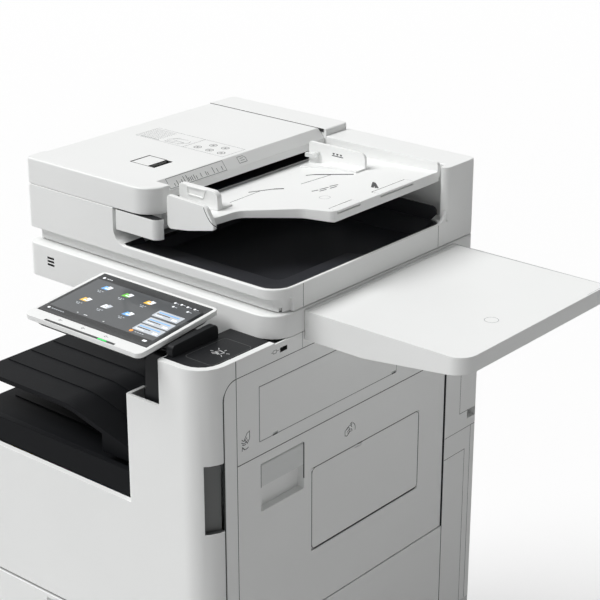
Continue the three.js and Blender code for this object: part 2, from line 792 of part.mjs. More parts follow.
function scannerHousing() {
  const plan = (inset) => outline([
    [inset, scannerFront + inset, 18 - inset],
    [rightEdge - inset, scannerFront + inset, lidRadius - inset],
    [rightEdge - inset, lidRear - inset, smallRadius - inset],
    [inset, lidRear - inset, smallRadius - inset],
  ]);
  const stepX = pillarLeft + 1;
  const outer = prism('z', plan(0), scannerBottom, scannerTop);
  const inner = cut(
    prism('z', plan(4), scannerBottom + 4, scannerTop - 4),
    box(stepX - 4, rightEdge, 0, bodyDepth, scannerBottom, scannerBottom + scannerStep + 4),
  );
  const stepCut = box(stepX, rightEdge + 1, 0, bodyDepth, scannerBottom - 1, scannerBottom + scannerStep);
  const platenOpening = box(glassX[0], glassX[1], glassY[0], glassY[1], scannerTop - 5, scannerTop + 1);
  const vent = (i) => {
    const z = scannerTop - 22 - i * 6;
    return box(49, 65, scannerFront - 1, scannerFront + 5, z, z + 3);
  };
  const saddle = (x) => box(x, x + 4, railY - 12, railY + 12, scannerBottom + 3, carriageZ - 4 - fit);
  return join(
    cut(outer, inner, stepCut, platenOpening, vent(0), vent(1), vent(2)),
    saddle(3.9),
    saddle(260),
    box(stepX - 5, stepX - 1, railY - 12, railY + 12, scannerBottom + 3, carriageZ - 4 - fit),
    ...[[glassX[0] - 2, glassX[0] + 6], [glassX[1] - 6, glassX[1] + 2]].map(([x0, x1]) =>
      box(x0, x1, glassY[0] - 2, glassY[1] + 2, scannerTop - 8, scannerTop - 4)),
  );
}

const platenGlass = () =>
  box(glassX[0] + fit, glassX[1] - fit, glassY[0] + fit, glassY[1] - fit, scannerTop - 4 + fit, scannerTop);

const carriageRail = () => rod('x', railY, carriageZ, 4, 4 + fit, rightEdge - 4 - fit, 12);

function scanCarriage() {
  const x0 = 24;
  const body = box(x0, x0 + 56, glassY[0] - 10, glassY[1] + 4, carriageZ - 3, scannerTop - 10);
  const bearing = box(x0, x0 + 56, railY - 9, railY + 9, carriageZ - 3, carriageZ + 8);
  const groove = box(x0 - 1, x0 + 57, railY - 4 - fit, railY + 4 + fit, carriageZ - 4, carriageZ + 4 + fit);
  return cut(join(body, bearing), groove);
}

// ---- Lid and document feeder --------------------------------------------
const lidPivotY = lidRear + 10;
const lidPivotZ = lidBottom + 9;
const hingeLeft = [60, rightEdge - 110];
const hingeWidth = 48;
const blockLeft = 285; // left end of the lid's rear right block
const blockTop = rimTop + 95;
const bandInset = 7;
const bandFront = scannerFront + 22;
const bandEnd = scannerFront + 43;
const bowlStep = lidBandTop + skin;
const blockFront = lidRear - 66;
const blockShoulder = 18; // width of the block's forward part
const coveRadius = 20;
const feederRear = lidRear - 66;
const outputRear = lidRear - 87;

function lidShell() {
  const plan = outline([
    [0, scannerFront + 5, 10],
    [rightEdge, scannerFront + 5, lidRadius],
    [rightEdge, lidRear, smallRadius],
    [0, lidRear, smallRadius],
  ]);
  const band = outline([
    [bandInset, bandFront, 10],
    [rightEdge - bandInset, bandFront, lidRadius - 19],
    [rightEdge - bandInset, bandEnd],
    [rightEdge, bandEnd, 2],
    [rightEdge, lidRear, smallRadius],
    [0, lidRear, smallRadius],
    [0, bandEnd, 2],
    [bandInset, bandEnd],
  ]);
  const profile = outline([
    [-1, lidBandTop],
    [rightEdge + 1, lidBandTop],
    [rightEdge + 1, rimTop],
    [lidBlockReach, rimTop, 24],
    [lidBlockReach, coverSeam - 0.8],
    [8, coverSeam - 0.8],
    [8, coverSeam - 3],
    [-1, coverSeam - 3],
  ]);
  const block = outline([
    [blockLeft, blockFront],
    [rightEdge - blockShoulder, blockFront],
    [rightEdge - blockShoulder + 5, outputRear + 1],
    [rightEdge, outputRear + 1, smallRadius],
    [rightEdge, lidRear, smallRadius],
    [blockLeft, lidRear],
  ]);
  const lower = prism('z', band, lidBottom, lidBandTop + 1);
  const upper = prism('y', profile, scannerFront, lidRear + 1).intersect(
    prism('z', plan, lidBandTop, coverSeam),
  );
  const reach = lidBlockReach;
  const shell = cut(
    join(lower, upper, prism('z', block, rimTop - 1, blockTop)),
    box(4, reach - 4, bandFront + 3, feederRear - 4, lidBottom + 12, lidBandTop + 4),
    box(4, reach - 4, scannerFront + 9, feederRear - 4, lidBandTop + 3, coverSeam + 1),
    box(reach - 5, reach + 1, scannerFront + 13, feederRear - 4, turretBottom - fit, coverSeam + 1),
    box(-1, reach + 30, feederRear, lidRear + 1, rimTop, coverSeam + 1),
    box(reach - 5, reach + 12, scannerFront + 60, outputRear - 20, lidBottom + 26, rimTop + 18),
    prism('z', bowlPlan(0), bowlStep, rimTop + 1),
    prism('z', bowlFloorPlan(0), lidBottom + 10, bowlStep + 1),
    box(12, rightEdge - 12, scannerFront + 27, lidRear - 40, lidBottom - 1, lidBottom + 6),
    ...hingeLeft.map((x) => box(x - 2, x + hingeWidth + 2, lidRear - 32, lidRear + 1, lidBottom - 1, rimTop)),
  );
  const lugs = hingeLeft.map((x) =>
    cut(
      box(x + 12, x + hingeWidth - 12, lidRear - 33, lidPivotY + 8, lidPivotZ - 8, lidPivotZ + 10),
      rod('x', lidPivotY, lidPivotZ, 5 + fit, x, x + hingeWidth, 16),
    ),
  );
  const coveY = outputRear + 1 - coveRadius;
  const cove = cut(
    box(rightEdge - 6, rightEdge, coveY, outputRear + 2, rimTop - 1, rimTop + coveRadius),
    rod('x', coveY, rimTop + coveRadius, coveRadius, rightEdge - 7, rightEdge + 1, 40),
  );
  return join(shell, cove, ...lugs);
}

// The recess for fed originals: its upper part, and its floor inside the band.
const bowlPlan = (inset) =>
  outline([
    [lidBlockReach + 6 + inset, scannerFront + 11 + inset, 16],
    [rightEdge - 6 - inset, scannerFront + 11 + inset, lidRadius - 6],
    [rightEdge - 6 - inset, outputRear - inset, 20],
    [lidBlockReach + 6 + inset, outputRear - inset, 6],
  ]);

const bowlFloorPlan = (inset) =>
  outline([
    [lidBlockReach + 6 + inset, bandFront + 2.5 + inset, 10],
    [rightEdge - bandInset - 2.5 - inset, bandFront + 2.5 + inset, lidRadius - 21.5],
    [rightEdge - bandInset - 2.5 - inset, outputRear - inset, 20],
    [lidBlockReach + 6 + inset, outputRear - inset, 6],
  ]);

const turretBottom = lidBottom + 65.4;
const liningTop = turretBottom - 0.5;

function outputLiner() {
  const outer = join(
    prism('z', bowlPlan(fit), bowlStep + fit, rimTop - 2),
    prism('z', bowlFloorPlan(fit), lidBottom + 10 + fit, bowlStep + 1),
  );
  const slope = 26;
  const upper = bowlPlan(2.5);
  const middle = new THREE.Vector2((lidBlockReach + rightEdge) / 2, (scannerFront + outputRear) / 2);
  const lower = upper.map((p) => {
    const half = new THREE.Vector2((rightEdge - lidBlockReach) / 2, (outputRear - scannerFront) / 2);
    return new THREE.Vector2(
      middle.x + (p.x - middle.x) * (1 - slope / half.x),
      middle.y + (p.y - middle.y) * (1 - slope / half.y),
    );
  });
  const bowl = cut(
    outer,
    loft(lower, lidBottom + 13, upper, rimTop + 1),
    box(lidBlockReach, lidBlockReach + 36, scannerFront + 62, outputRear - 22, lidBottom + 27, rimTop),
  );
  const lining = prism('y', outline([
    [lidBlockReach + 26, rimTop - 4],
    [rightEdge - 32, rimTop - 4],
    [rightEdge - 17.4, rimTop + 11, 3],
    [rightEdge - 17.4, liningTop, 11],
    [lidBlockReach + 26, liningTop],
  ]), outputRear - fit - 2.4, outputRear - fit);
  return join(bowl, lining);
}

const platenPad = () =>
  box(14, rightEdge - 14, scannerFront + 29, lidRear - 42, lidBottom + 0.5, lidBottom + 6 - fit);

// Feed unit: a deck over the recess, with the rounded turret at its front.
const trayPivotX = feederReach + 13;
const trayPivotZ = coverSeam - 0.5;
const deckTop = coverSeam - 1.5;
const cheekY = [scannerFront + 50, feederRear - 12];

function feederBody() {
  const turret = outline([
    [lidBlockReach + 7, scannerFront + 5],
    [coverShoulder + 13, scannerFront + 5, 14],
    [coverShoulder + 13, scannerFront + 21],
    [feederReach - 5, scannerFront + 24],
    [feederReach - 5, scannerFront + 46],
    [lidBlockReach + 7, scannerFront + 46],
  ]);
  const cheek = (y) =>
    cut(
      box(feederReach - 8, trayPivotX + 6, y, y + 6, turretBottom + 12, trayPivotZ + 8),
      rod('y', trayPivotX, trayPivotZ, 3 + fit, y - 1, y + 7, 12),
    );
  return join(
    box(8, feederReach - 6, scannerFront + 14, feederRear - 5, turretBottom, deckTop),
    prism('z', turret, turretBottom, deckTop),
    ...cheekY.map(cheek),
  );
}

const feederRearCover = () =>
  cut(
    prism('z', outline([
      [0, feederRear + fit],
      [blockLeft - fit, feederRear + fit],
      [blockLeft - fit, lidRear, smallRadius],
      [0, lidRear, smallRadius],
    ]), rimTop + fit, feederTop),
    box(skin + 1, blockLeft - 4, feederRear + 4, lidRear - 4, rimTop - 1, feederTop - skin),
  );

const coverPivotX = 3;
const coverHingeZ = coverSeam + 2.5;
const latchX = [156, 214];
const latchY = [scannerFront + 100, scannerFront + 146];
const rollerX = 256;
const rollerZ = coverSeam + 18;
const rollerY = [368, 432];

function feederCover() {
  const base = coverSeam;
  const shoulder = outline([
    [0, scannerFront + 5, 10],
    [coverShoulder, scannerFront + 5, 42],
    [coverShoulder, cheekY[0] - 1],
    [0, cheekY[0] - 1],
  ]);
  const body = outline([
    [0, base],
    [feederReach - 44, base],
    [feederReach - 38, base + 15],
    [feederReach, base + 15],
    [feederReach, feederTop - 17],
    [coverTopReach, feederTop],
    [0, feederTop, 8],
  ]);
  const [rollFront, rollBack] = rollerY;
  const [x0, x1] = latchX;
  const [y0, y1] = latchY;
  const outer = join(
    prism('z', shoulder, base, feederTop),
    prism('y', body, scannerFront + 40, feederRear - fit),
  );
  const shell = cut(
    outer,
    box(4, feederReach - 48, scannerFront + 9, feederRear - 4, base - 1, feederTop - 4),
    box(feederReach - 49, coverShoulder - 16, scannerFront + 24, cheekY[0] - 5, base - 1, feederTop - 4),
    box(rollerX - 16, rollerX + 16, rollFront - 16, rollBack + 16, base - 1, rollerZ + 16),
    rod('y', rollerX, rollerZ, 4 + fit, rollFront - 24, rollBack + 24, 12),
  );
  const pocket = box(x0 - 3, x1 + 3, y0 - 3, y1 + 3, feederTop - 14, feederTop - 3);
  return cut(join(shell, pocket), box(x0, x1, y0, y1, feederTop - 11, feederTop + 1));
}

function coverLatch() {
  const [x0, x1] = latchX;
  const [y0, y1] = latchY;
  return prism('y', outline([
    [x0 + 1, feederTop - 5, 2.2],
    [x1 - 16, feederTop - 5],
    [x1 - 16, feederTop - 0.4],
    [x0 + 1, feederTop - 0.4, 2.2],
  ]), y0 + 0.6, y1 - 0.6);
}

const feedRoller = () =>
  join(
    rod('y', rollerX, rollerZ, 12, rollerY[0], rollerY[1], 24),
    rod('y', rollerX, rollerZ, 4, rollerY[0] - 20, rollerY[1] + 20, 12),
  );

// Document tray, its guides and its stop flaps.
const rimZ = feederTop - trayDrop;
const trayRight = rightEdge - trayRightInset;
const trayKnee = feederReach + 93;
const trayEntryZ = coverSeam - 2.5;
const trayKneeZ = coverSeam + 13.5;
const trayFrontY = scannerFront + 25;
const trayRearY = feederRear - 7;
const flapY = [[343, 400], [454, 541]];
const trayWallTop = feederTop - 8;
const flapWidth = 18;
const flapPivotX = trayRight - 2.5;
const flapPivotZ = rimZ - 2.5;

const traySurface = (x) =>
  x < trayKnee
    ? trayEntryZ + ((trayKneeZ - trayEntryZ) * (x - feederReach)) / (trayKnee - feederReach)
    : trayKneeZ + ((rimZ - trayKneeZ) * (x - trayKnee)) / (trayRight - trayKnee);

function documentTray() {
  const profile = outline([
    [feederReach + 0.6, trayEntryZ - 9],
    [trayKnee, trayKneeZ - 11],
    [trayRight, rimZ - 19, 3],
    [trayRight, rimZ],
    [trayKnee, trayKneeZ],
    [feederReach + 0.6, trayEntryZ],
  ]);
  const plan = outline([
    [feederReach, cheekY[0] + 6.6],
    [coverShoulder + 16, cheekY[0] + 6.6],
    [coverShoulder + 16, trayFrontY],
    [coverShoulder + 104, trayFrontY],
    [coverShoulder + 110, trayFrontY + 67, 30],
    [trayRight - 54, scannerFront + 157, 40],
    [trayRight, scannerFront + 172, 14],
    [trayRight, trayRearY, 6],
    [trayPivotX + 9, trayRearY],
    [trayPivotX + 9, cheekY[1] - 0.6],
    [feederReach, cheekY[1] - 0.6],
  ]);
  const bracket = outline([
    [coverShoulder + 16, turretBottom + 18, 8],
    [coverShoulder + 60, turretBottom + 24],
    [coverShoulder + 119, turretBottom + 37, 6],
    [coverShoulder + 117, trayKneeZ - 4, 12],
    [coverShoulder + 101, feederTop - 9, 12],
    [coverShoulder + 16, feederTop - 6, 6],
  ]);
  const wall = outline([
    [trayPivotX + 13, trayEntryZ - 4],
    [trayRight, rimZ - 12],
    [trayRight, trayWallTop, 5],
    [trayPivotX + 13, trayWallTop],
  ]);
  const pockets = flapY.map(([y0, y1]) =>
    box(trayRight - flapWidth - 1.5, trayRight + 1, y0 - 0.5, y1 + 0.5, rimZ - 6, rimZ + 1));
  return cut(
    join(
      prism('y', profile, trayFrontY - 1, trayRearY + 1).intersect(
        prism('z', plan, turretBottom - 20, feederTop),
      ),
      prism('y', bracket, trayFrontY, trayFrontY + 8),
      prism('y', wall, trayRearY - 7, trayRearY),
      rod('y', trayPivotX, trayPivotZ, 3, cheekY[0] + 0.6, cheekY[0] + 12, 12),
      rod('y', trayPivotX, trayPivotZ, 3, cheekY[1] - 6, cheekY[1] + 5.4, 12),
      rod('y', trayPivotX, trayPivotZ, 6, cheekY[0] + 6.6, cheekY[0] + 14, 16),
      rod('y', trayPivotX, trayPivotZ, 6, cheekY[1] - 8, cheekY[1] - 0.6, 16),
    ),
    ...pockets,
  );
}

// An upright guide plate on a foot; inward is +1 for the front guide.
function slideGuide(y, inward, x0, x1, thickness) {
  const foot = [x0, trayKnee, x1].map((x) => [x, traySurface(x) + fit]);
  const upright = outline([
    ...foot,
    [x1, feederTop - 0.5, 12],
    [x0, feederTop - 0.5, 6],
  ]);
  const sole = outline([...foot, ...foot.toReversed().map(([x, z]) => [x, z + 3])]);
  const span = (from, to) => (inward > 0 ? [y + from, y + to] : [y - to, y - from]);
  return join(
    prism('y', upright, ...span(6 - thickness, 6)),
    prism('y', sole, ...span(0, 30)),
  );
}

const frontGuideY = scannerFront + 76;
const rearGuideY = frontGuideY + 305 + 14;

const stopFlap = ([y0, y1]) =>
  join(
    prism('y', outline([
      [trayRight - flapWidth, rimZ - 4.6],
      [trayRight - 0.2, rimZ - 4.6, 2],
      [trayRight - 0.2, rimZ - 0.3, 2],
      [trayRight - flapWidth, rimZ - 0.3],
    ]), y0, y1),
  );

function lidHinge(x) {
  const base = box(x, x + hingeWidth, lidRear + fit, lidPivotY + 6, scannerBottom + 10, scannerTop - 2);
  const cheek = (x0) => box(x0, x0 + 5, lidPivotY - 7, lidPivotY + 7, scannerTop - 3, lidPivotZ + 7);
  return join(
    base,
    cheek(x),
    cheek(x + hingeWidth - 5),
    rod('x', lidPivotY, lidPivotZ, 5, x + 1, x + hingeWidth - 1, 16),
  );
}

// ---- Control panel, drawn flat about its front left top corner -----------
const panelDepthAtPivot = bezelThickness + panelBackThickness + panelBarrel;

function panelBezel() {
  const face = outline([
    [0, 0, 12],
    [panelWidth, 0, 12],
    [panelWidth, panelLength, 10],
    [0, panelLength, 10],
  ]);
  return cut(
    prism('z', face, -bezelThickness, 0),
    box(7, panelWidth - 7, 24, panelLength - 6, -2, 1),
    box(12, panelWidth - 12, 14, panelLength - 14, -bezelThickness - 1, -5),
    box(46, 202, 1.5, 6.5, -2, 1),
  );
}

const panelGlass = () => box(7 + fit, panelWidth - 7 - fit, 24 + fit, panelLength - 6 - fit, -2 + fit, 0);

function panelBack() {
  const top = -bezelThickness - fit;
  const bottom = -bezelThickness - panelBackThickness;
  const inside = (side, front, rear) => outline([
    [side, front, 10],
    [panelWidth - side, front, 10],
    [panelWidth - side, panelLength - rear, 10],
    [side, panelLength - rear, 10],
  ]);
  const lower = inside(16, 14, 16);
  const upper = inside(5, 5, 5);
  return join(
    loft(lower, bottom, upper, top),
    rod('x', panelPivotLength, -panelDepthAtPivot, panelBarrel, 150, panelWidth - 42, 20),
    box(152, panelWidth - 44, panelPivotLength - 7, panelPivotLength + 7, -panelDepthAtPivot, bottom + 2),
    rod('x', panelPivotLength, -panelDepthAtPivot, 5, 140, panelWidth - 4, 12),
  );
}

const tilt = THREE.MathUtils.degToRad(panelTilt);
const panelLeft = rightEdge - panelRightInset - panelWidth;
const panelPivotY =
  -panelFrontOverhang + panelPivotLength * Math.cos(tilt) + panelDepthAtPivot * Math.sin(tilt);
const panelPivotZ = panelTop + panelPivotLength * Math.sin(tilt) - panelDepthAtPivot * Math.cos(tilt);

// Neck that stands in the pillar's notch and carries the panel's hinge pin.
function panelArm() {
  const x0 = panelLeft + panelWidth - 38;
  const x1 = panelLeft + panelWidth - 4;
  const foot = notchTop - 34 + fit;
  const neck = outline([
    [panelPivotY - 17, foot],
    [panelPivotY + 22, foot],
    [panelPivotY + 20, panelPivotZ - 30, 12],
    [panelPivotY + 8, panelPivotZ + 7.5, 7],
    [panelPivotY - 8, panelPivotZ + 7.5, 7],
    [panelPivotY - 12, panelPivotZ - 30, 12],
  ]);
  return cut(
    prism('x', neck, x0, x1),
    rod('x', panelPivotY, panelPivotZ, 5 + fit, x0 - 1, x1 + 1, 12),
  );
}

// ---- Right door, bypass tray and door handle ----------------------------
const doorPivotX = rightEdge - 7;
const doorPivotY = doorRear - 7;
const doorBottom = coverBottom + fit;
const bypassPivotX = rightEdge - 3;
const bypassPivotZ = bypassBottom + 3.5;

function rightDoor() {
  const plan = outline([
    [rightEdge - doorThickness, pillarDepth + fit],
    [rightEdge, pillarDepth + fit, 1],
    [rightEdge, doorRear, 7],
    [rightEdge - doorThickness, doorRear],
  ]);
  const pin = (z0, z1) => rod('z', doorPivotX, doorPivotY, 3, z0, z1, 12);
  const gap = 0.7;
  const inner = rightEdge - doorThickness;
  const outside = rightEdge + 1;
  const lightening = box(
    inner - 1,
    rightEdge - 12,
    bypassFront + 30,
    bypassRear - 30,
    doorBottom + 20,
    bypassBottom - 14,
  );
  return cut(
    join(
      prism('z', plan, doorBottom, sideSplit),
      pin(doorBottom - 12, doorBottom + 1),
      pin(sideSplit - 1, sideSplit + 10),
    ),
    box(inner + 7, outside, bypassFront - gap, bypassRear + gap, bypassBottom - 2, bypassTop + gap),
    box(inner + 4, outside, gripFront - gap, gripRear + gap, gripBottom - 42, gripTop + 1.6),
    lightening,
  );
}

function bypassTray() {
  const plate = outline([
    [rightEdge - bypassThickness, bypassBottom],
    [rightEdge, bypassBottom, 2.5],
    [rightEdge, bypassTop, 1],
    [rightEdge - bypassThickness, bypassTop],
  ]);
  const ribs = [bypassFront + 4, bypassRear - 8].map((y) =>
    box(rightEdge - 10, rightEdge - bypassThickness + 0.5, y, y + 4, bypassBottom + 20, bypassTop - 6));
  return cut(
    join(prism('y', plate, bypassFront, bypassRear), ...ribs),
    box(rightEdge - 1.5, rightEdge + 1, bypassFront + 113, bypassFront + 129, bypassTop - 5, bypassTop + 1),
  );
}

const doorHandle = () =>
  prism('y', outline([
    [rightEdge - 8, gripBottom],
    [rightEdge, gripBottom, 2],
    [rightEdge, gripTop, 3],
    [rightEdge - 8, gripTop, 3],
  ]), gripFront, gripRear);

// ---- Utility tray -------------------------------------------------------
function utilityTray() {
  const x0 = rightEdge + fit;
  const x1 = rightEdge + utilityReach;
  const top = scannerTop - 5;
  const section = (wall) => outline([
    [x0 - (wall ? 1 : 0), top - utilityThickness + wall],
    [rightEdge + 116, top - utilityThickness + wall, 60],
    [x1 - wall, top - utilityEdge + wall],
    [x1 - wall, top - wall],
    [x0 - (wall ? 1 : 0), top - wall],
  ]);
  const plan = outline([
    [x0, utilityFront, 2],
    [x1, utilityFront, 30],
    [x1, utilityRear, smallRadius],
    [x0, utilityRear, 2],
  ]);
  const outer = prism('y', section(0), utilityFront, utilityRear).intersect(
    prism('z', plan, top - 2 * utilityThickness, top + 1));
  const room = prism('z', outline([
    [x0 - 2, utilityFront + 6],
    [x1 - 5, utilityFront + 6, 25],
    [x1 - 5, utilityRear - 6, smallRadius],
    [x0 - 2, utilityRear - 6],
  ]), top - 2 * utilityThickness, top);
  const hollow = prism('y', section(5), utilityFront + 6, utilityRear - 6).intersect(room);
  const strip = box(x0, x0 + 7, utilityFront + 1, utilityRear - 1, top - 1, top + 1.2);
  return join(cut(outer, hollow), strip);
}

// ---- Assembly -----------------------------------------------------------
add(machine, 'pedestal_frame', grey, pedestalFrame());
add(machine, 'pedestal_right_cover', white, cornerCover(floorClearance, pedestalTop));
add(machine, 'main_frame', steel, mainFrame());
add(machine, 'left_cover', white, leftCover());
add(machine, 'rear_cover', grey, rearCover());
add(machine, 'right_rear_cover', white, rightRearCover());
add(machine, 'right_upper_cover', white, rightUpperCover());
add(machine, 'side_exit_cover', white, sideExitCover());
add(machine, 'right_front_cover', white, rightFrontCover());
add(machine, 'pillar_core', black, pillarCore());
add(machine, 'card_reader_plate', black, cardReaderPlate());
add(machine, 'upper_output_tray', black, upperTray());
add(machine, 'lower_output_tray', black, lowerTray());
add(machine, 'panel_arm', black, panelArm());
add(machine, 'utility_tray', white, utilityTray());
add(machine, 'drum_unit', darkGrey, drumUnit());
add(machine, 'transfer_belt', black, transferBelt());
add(machine, 'fuser_unit', darkGrey, fuserUnit());

tonerColours.forEach((colour, i) =>
  addAt(machine, `toner_bottle_${i + 1}`, colour, tonerBottle(), tonerX(i), framePlateY - fit, tonerZ));

const cassetteSolid = cassette();
const cassettePitch = cassetteFace + seam;
const cassetteFloors = [mainFloor + cassettePitch, mainFloor, pedestalFloor + cassettePitch, pedestalFloor];
cassetteFloors.forEach((floor, i) =>
  addAt(machine, `cassette_${i + 1}`, white, cassetteSolid, 0, 0, floor + seam));

const casterPlaces = [
  ['front_left', casterInset, casterFrontY],
  ['front_right', bodyWidth - casterInset, casterFrontY],
  ['rear_left', casterInset, bodyDepth - casterFrontY],
  ['rear_right', bodyWidth - casterInset, bodyDepth - casterFrontY],
];
casterPlaces.forEach(([place, x, y]) => {
  const caster = assembly(x, y, 0);
  addAt(caster, `caster_fork_${place}`, steel, casterFork(), 0, 0, 0);
  addAt(caster, `caster_wheel_${place}`, rubber, casterWheel(), 0, casterTrail, wheelRadius + wheelClearance);
});

const frontDoor = assembly(0, coverPivotY, coverPivotZ);
add(frontDoor, 'front_cover', white, frontCover());

const sideDoor = assembly(doorPivotX, doorPivotY, doorBottom);
add(sideDoor, 'right_door', white, rightDoor());
add(sideDoor, 'bypass_tray', white, bypassTray());
add(sideDoor, 'door_handle', grey, doorHandle());

const panel = assembly(panelLeft, panelPivotY, panelPivotZ);
panel.rotation.x = tilt;
const panelOrigin = [0, -panelPivotLength, panelDepthAtPivot];
addAt(panel, 'panel_bezel', white, panelBezel(), ...panelOrigin);
addAt(panel, 'panel_back', black, panelBack(), ...panelOrigin);
addAt(panel, 'panel_glass', glass, panelGlass(), ...panelOrigin);

add(machine, 'scanner_housing', white, scannerHousing());
add(machine, 'platen_glass', glass, platenGlass());
add(machine, 'carriage_rail', steel, carriageRail());
add(machine, 'scan_carriage', black, scanCarriage());
['left', 'right'].forEach((side, i) =>
  add(machine, `lid_hinge_${side}`, steel, lidHinge(hingeLeft[i])));

const lid = assembly(0, lidPivotY, lidPivotZ);
add(lid, 'lid_shell', white, lidShell());
add(lid, 'output_liner', black, outputLiner());
add(lid, 'platen_pad', white, platenPad());
add(lid, 'feeder_body', white, feederBody());
add(lid, 'feeder_rear_cover', white, feederRearCover());

const topCover = assembly(coverPivotX, scannerFront, coverHingeZ, lid);
add(topCover, 'feeder_cover', white, feederCover());
add(topCover, 'cover_latch', white, coverLatch());
add(topCover, 'feed_roller', blue, feedRoller());

const paperTray = assembly(trayPivotX, scannerFront, trayPivotZ, lid);
add(paperTray, 'document_tray', white, documentTray());
add(paperTray, 'guide_front', white, slideGuide(frontGuideY, 1, feederReach + 16, feederReach + 101, 11));
add(paperTray, 'guide_rear', white, slideGuide(rearGuideY, -1, feederReach + 24, feederReach + 149, 6));
['front', 'rear'].forEach((side, i) =>
  add(paperTray, `stop_flap_${side}`, white, stopFlap(flapY[i])));

// The origin lies on the floor, under the middle of the whole machine.
machine.updateMatrixWorld(true);
const extent = new THREE.Box3().setFromObject(machine, true);
const middle = extent.getCenter(new THREE.Vector3());
machine.position.set(-middle.x, -middle.y, -extent.min.z);

const photocopier = new THREE.Group();
photocopier.add(machine);

export default photocopier;
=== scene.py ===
import json
import math

import bmesh
import bpy
from mathutils import Matrix, Vector
from mathutils.bvhtree import BVHTree
from mathutils.geometry import intersect_line_line_2d


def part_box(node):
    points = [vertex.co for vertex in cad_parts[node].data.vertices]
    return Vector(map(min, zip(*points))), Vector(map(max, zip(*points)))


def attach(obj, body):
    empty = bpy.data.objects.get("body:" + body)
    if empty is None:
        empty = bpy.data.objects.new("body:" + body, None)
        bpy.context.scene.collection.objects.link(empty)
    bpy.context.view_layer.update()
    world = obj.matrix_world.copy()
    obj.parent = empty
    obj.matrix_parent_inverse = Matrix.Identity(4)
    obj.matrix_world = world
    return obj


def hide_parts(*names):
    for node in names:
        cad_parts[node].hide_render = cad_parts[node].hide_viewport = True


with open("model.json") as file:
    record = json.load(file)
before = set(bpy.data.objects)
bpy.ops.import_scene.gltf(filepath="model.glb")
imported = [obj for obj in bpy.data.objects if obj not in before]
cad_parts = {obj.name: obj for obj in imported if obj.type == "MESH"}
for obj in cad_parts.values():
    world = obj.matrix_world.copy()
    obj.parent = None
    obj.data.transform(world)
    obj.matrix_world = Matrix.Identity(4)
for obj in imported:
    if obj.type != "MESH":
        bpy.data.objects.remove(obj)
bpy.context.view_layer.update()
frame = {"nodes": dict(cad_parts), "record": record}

# An A3 office photocopier. Places are given in millimetres from the left face,
# the front face and the floor of its body: machine_mm() turns a point, and
# face_plane() a drawing on a face, into the frame's metres.

MM = 0.001
BODY_OF = {
    node: body
    for body, nodes in frame["record"]["behaviour"]["bodies"].items()
    for node in nodes
}
BODY_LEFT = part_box("scanner_housing")[0].x
BODY_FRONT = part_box("front_cover")[0].y


def machine_mm(x, y, z):
    """A point given in the body's millimetres, in the frame's metres."""
    return Vector((BODY_LEFT + x * MM, BODY_FRONT + y * MM, z * MM))


def node_mm(node):
    """Lowest and highest corner of a CAD node, in the body's millimetres."""
    low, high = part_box(node)
    origin = machine_mm(0, 0, 0)
    return [tuple(round(v / MM, 2) for v in corner - origin) for corner in (low, high)]


# ---- Levels read from the frame -----------------------------------------
(_, SCANNER_FRONT, SCANNER_BOTTOM), (WIDTH, _, SCANNER_TOP) = node_mm("scanner_housing")
DEPTH = node_mm("rear_cover")[1][1]
FEEDER_TOP = node_mm("feeder_cover")[1][2]
FEEDER_SEAM = node_mm("feeder_cover")[0][2]
_, LID_FRONT, LID_BOTTOM = node_mm("lid_shell")[0]
RIM_HEIGHT = 40.4  # of the output recess, over the lid's underside
RIM_TOP = LID_BOTTOM + RIM_HEIGHT
PILLAR_TOP = node_mm("front_cover")[1][2]

# ---- Materials ----------------------------------------------------------


def linear(hex_code):
    """An sRGB hex colour as linear RGBA."""
    channels = [int(hex_code[i : i + 2], 16) / 255 for i in (0, 2, 4)]
    return [c / 12.92 if c <= 0.04045 else ((c + 0.055) / 1.055) ** 2.4 for c in channels] + [1.0]


def node(tree, kind, inputs=None, **settings):
    """Adds a node; each input is a value, or a socket to link from."""
    made = tree.nodes.new(kind)
    for name, value in settings.items():
        setattr(made, name, value)
    for name, value in (inputs or {}).items():
        if isinstance(value, bpy.types.NodeSocket):
            tree.links.new(value, made.inputs[name])
        else:
            made.inputs[name].default_value = value
    return made


def new_material(name):
    material = bpy.data.materials.new(name)
    material.use_nodes = True
    material.node_tree.nodes.clear()
    return material, material.node_tree


def finish_tree(tree, shader, **inputs):
    """Sets the shader's plain inputs and makes it the material's surface."""
    node(tree, "ShaderNodeOutputMaterial", {"Surface": shader.outputs[0]})
    for name, value in inputs.items():
        shader.inputs[name].default_value = value


def own_place(tree):
    """Places in the piece's own space, so that a pattern moves with its piece."""
    return node(tree, "ShaderNodeTexCoord").outputs["Object"]


def noise(tree, place, scale, **inputs):
    """A soft irregular pattern with that many waves to the metre."""
    inputs = {"Vector": place, "Scale": scale, **inputs}
    return node(tree, "ShaderNodeTexNoise", inputs).outputs["Fac"]


def toned(tree, pattern, colour, low, high):
    """A colour that a pattern moves between low and high times itself."""
    dark, light = ([min(1.0, c * k) for c in linear(colour)[:3]] + [1.0] for k in (low, high))
    inputs = {"Factor": pattern, "A": dark, "B": light}
    return node(tree, "ShaderNodeMix", inputs, data_type="RGBA").outputs["Result"]


def roughened(tree, pattern, low, high):
    """A roughness that a pattern moves between low and high."""
    inputs = {"Value": pattern, "To Min": low, "To Max": high}
    return node(tree, "ShaderNodeMapRange", inputs).outputs["Result"]


def relief_shader(tree, tone, gloss, height, strength, depth):
    """A surface with a tone, a roughness and a relief of that depth in metres."""
    inputs = {"Height": height, "Strength": strength, "Distance": depth}
    relief = node(tree, "ShaderNodeBump", inputs).outputs["Normal"]
    inputs = {"Base Color": tone, "Roughness": gloss, "Normal": relief}
    return node(tree, "ShaderNodeBsdfPrincipled", inputs)


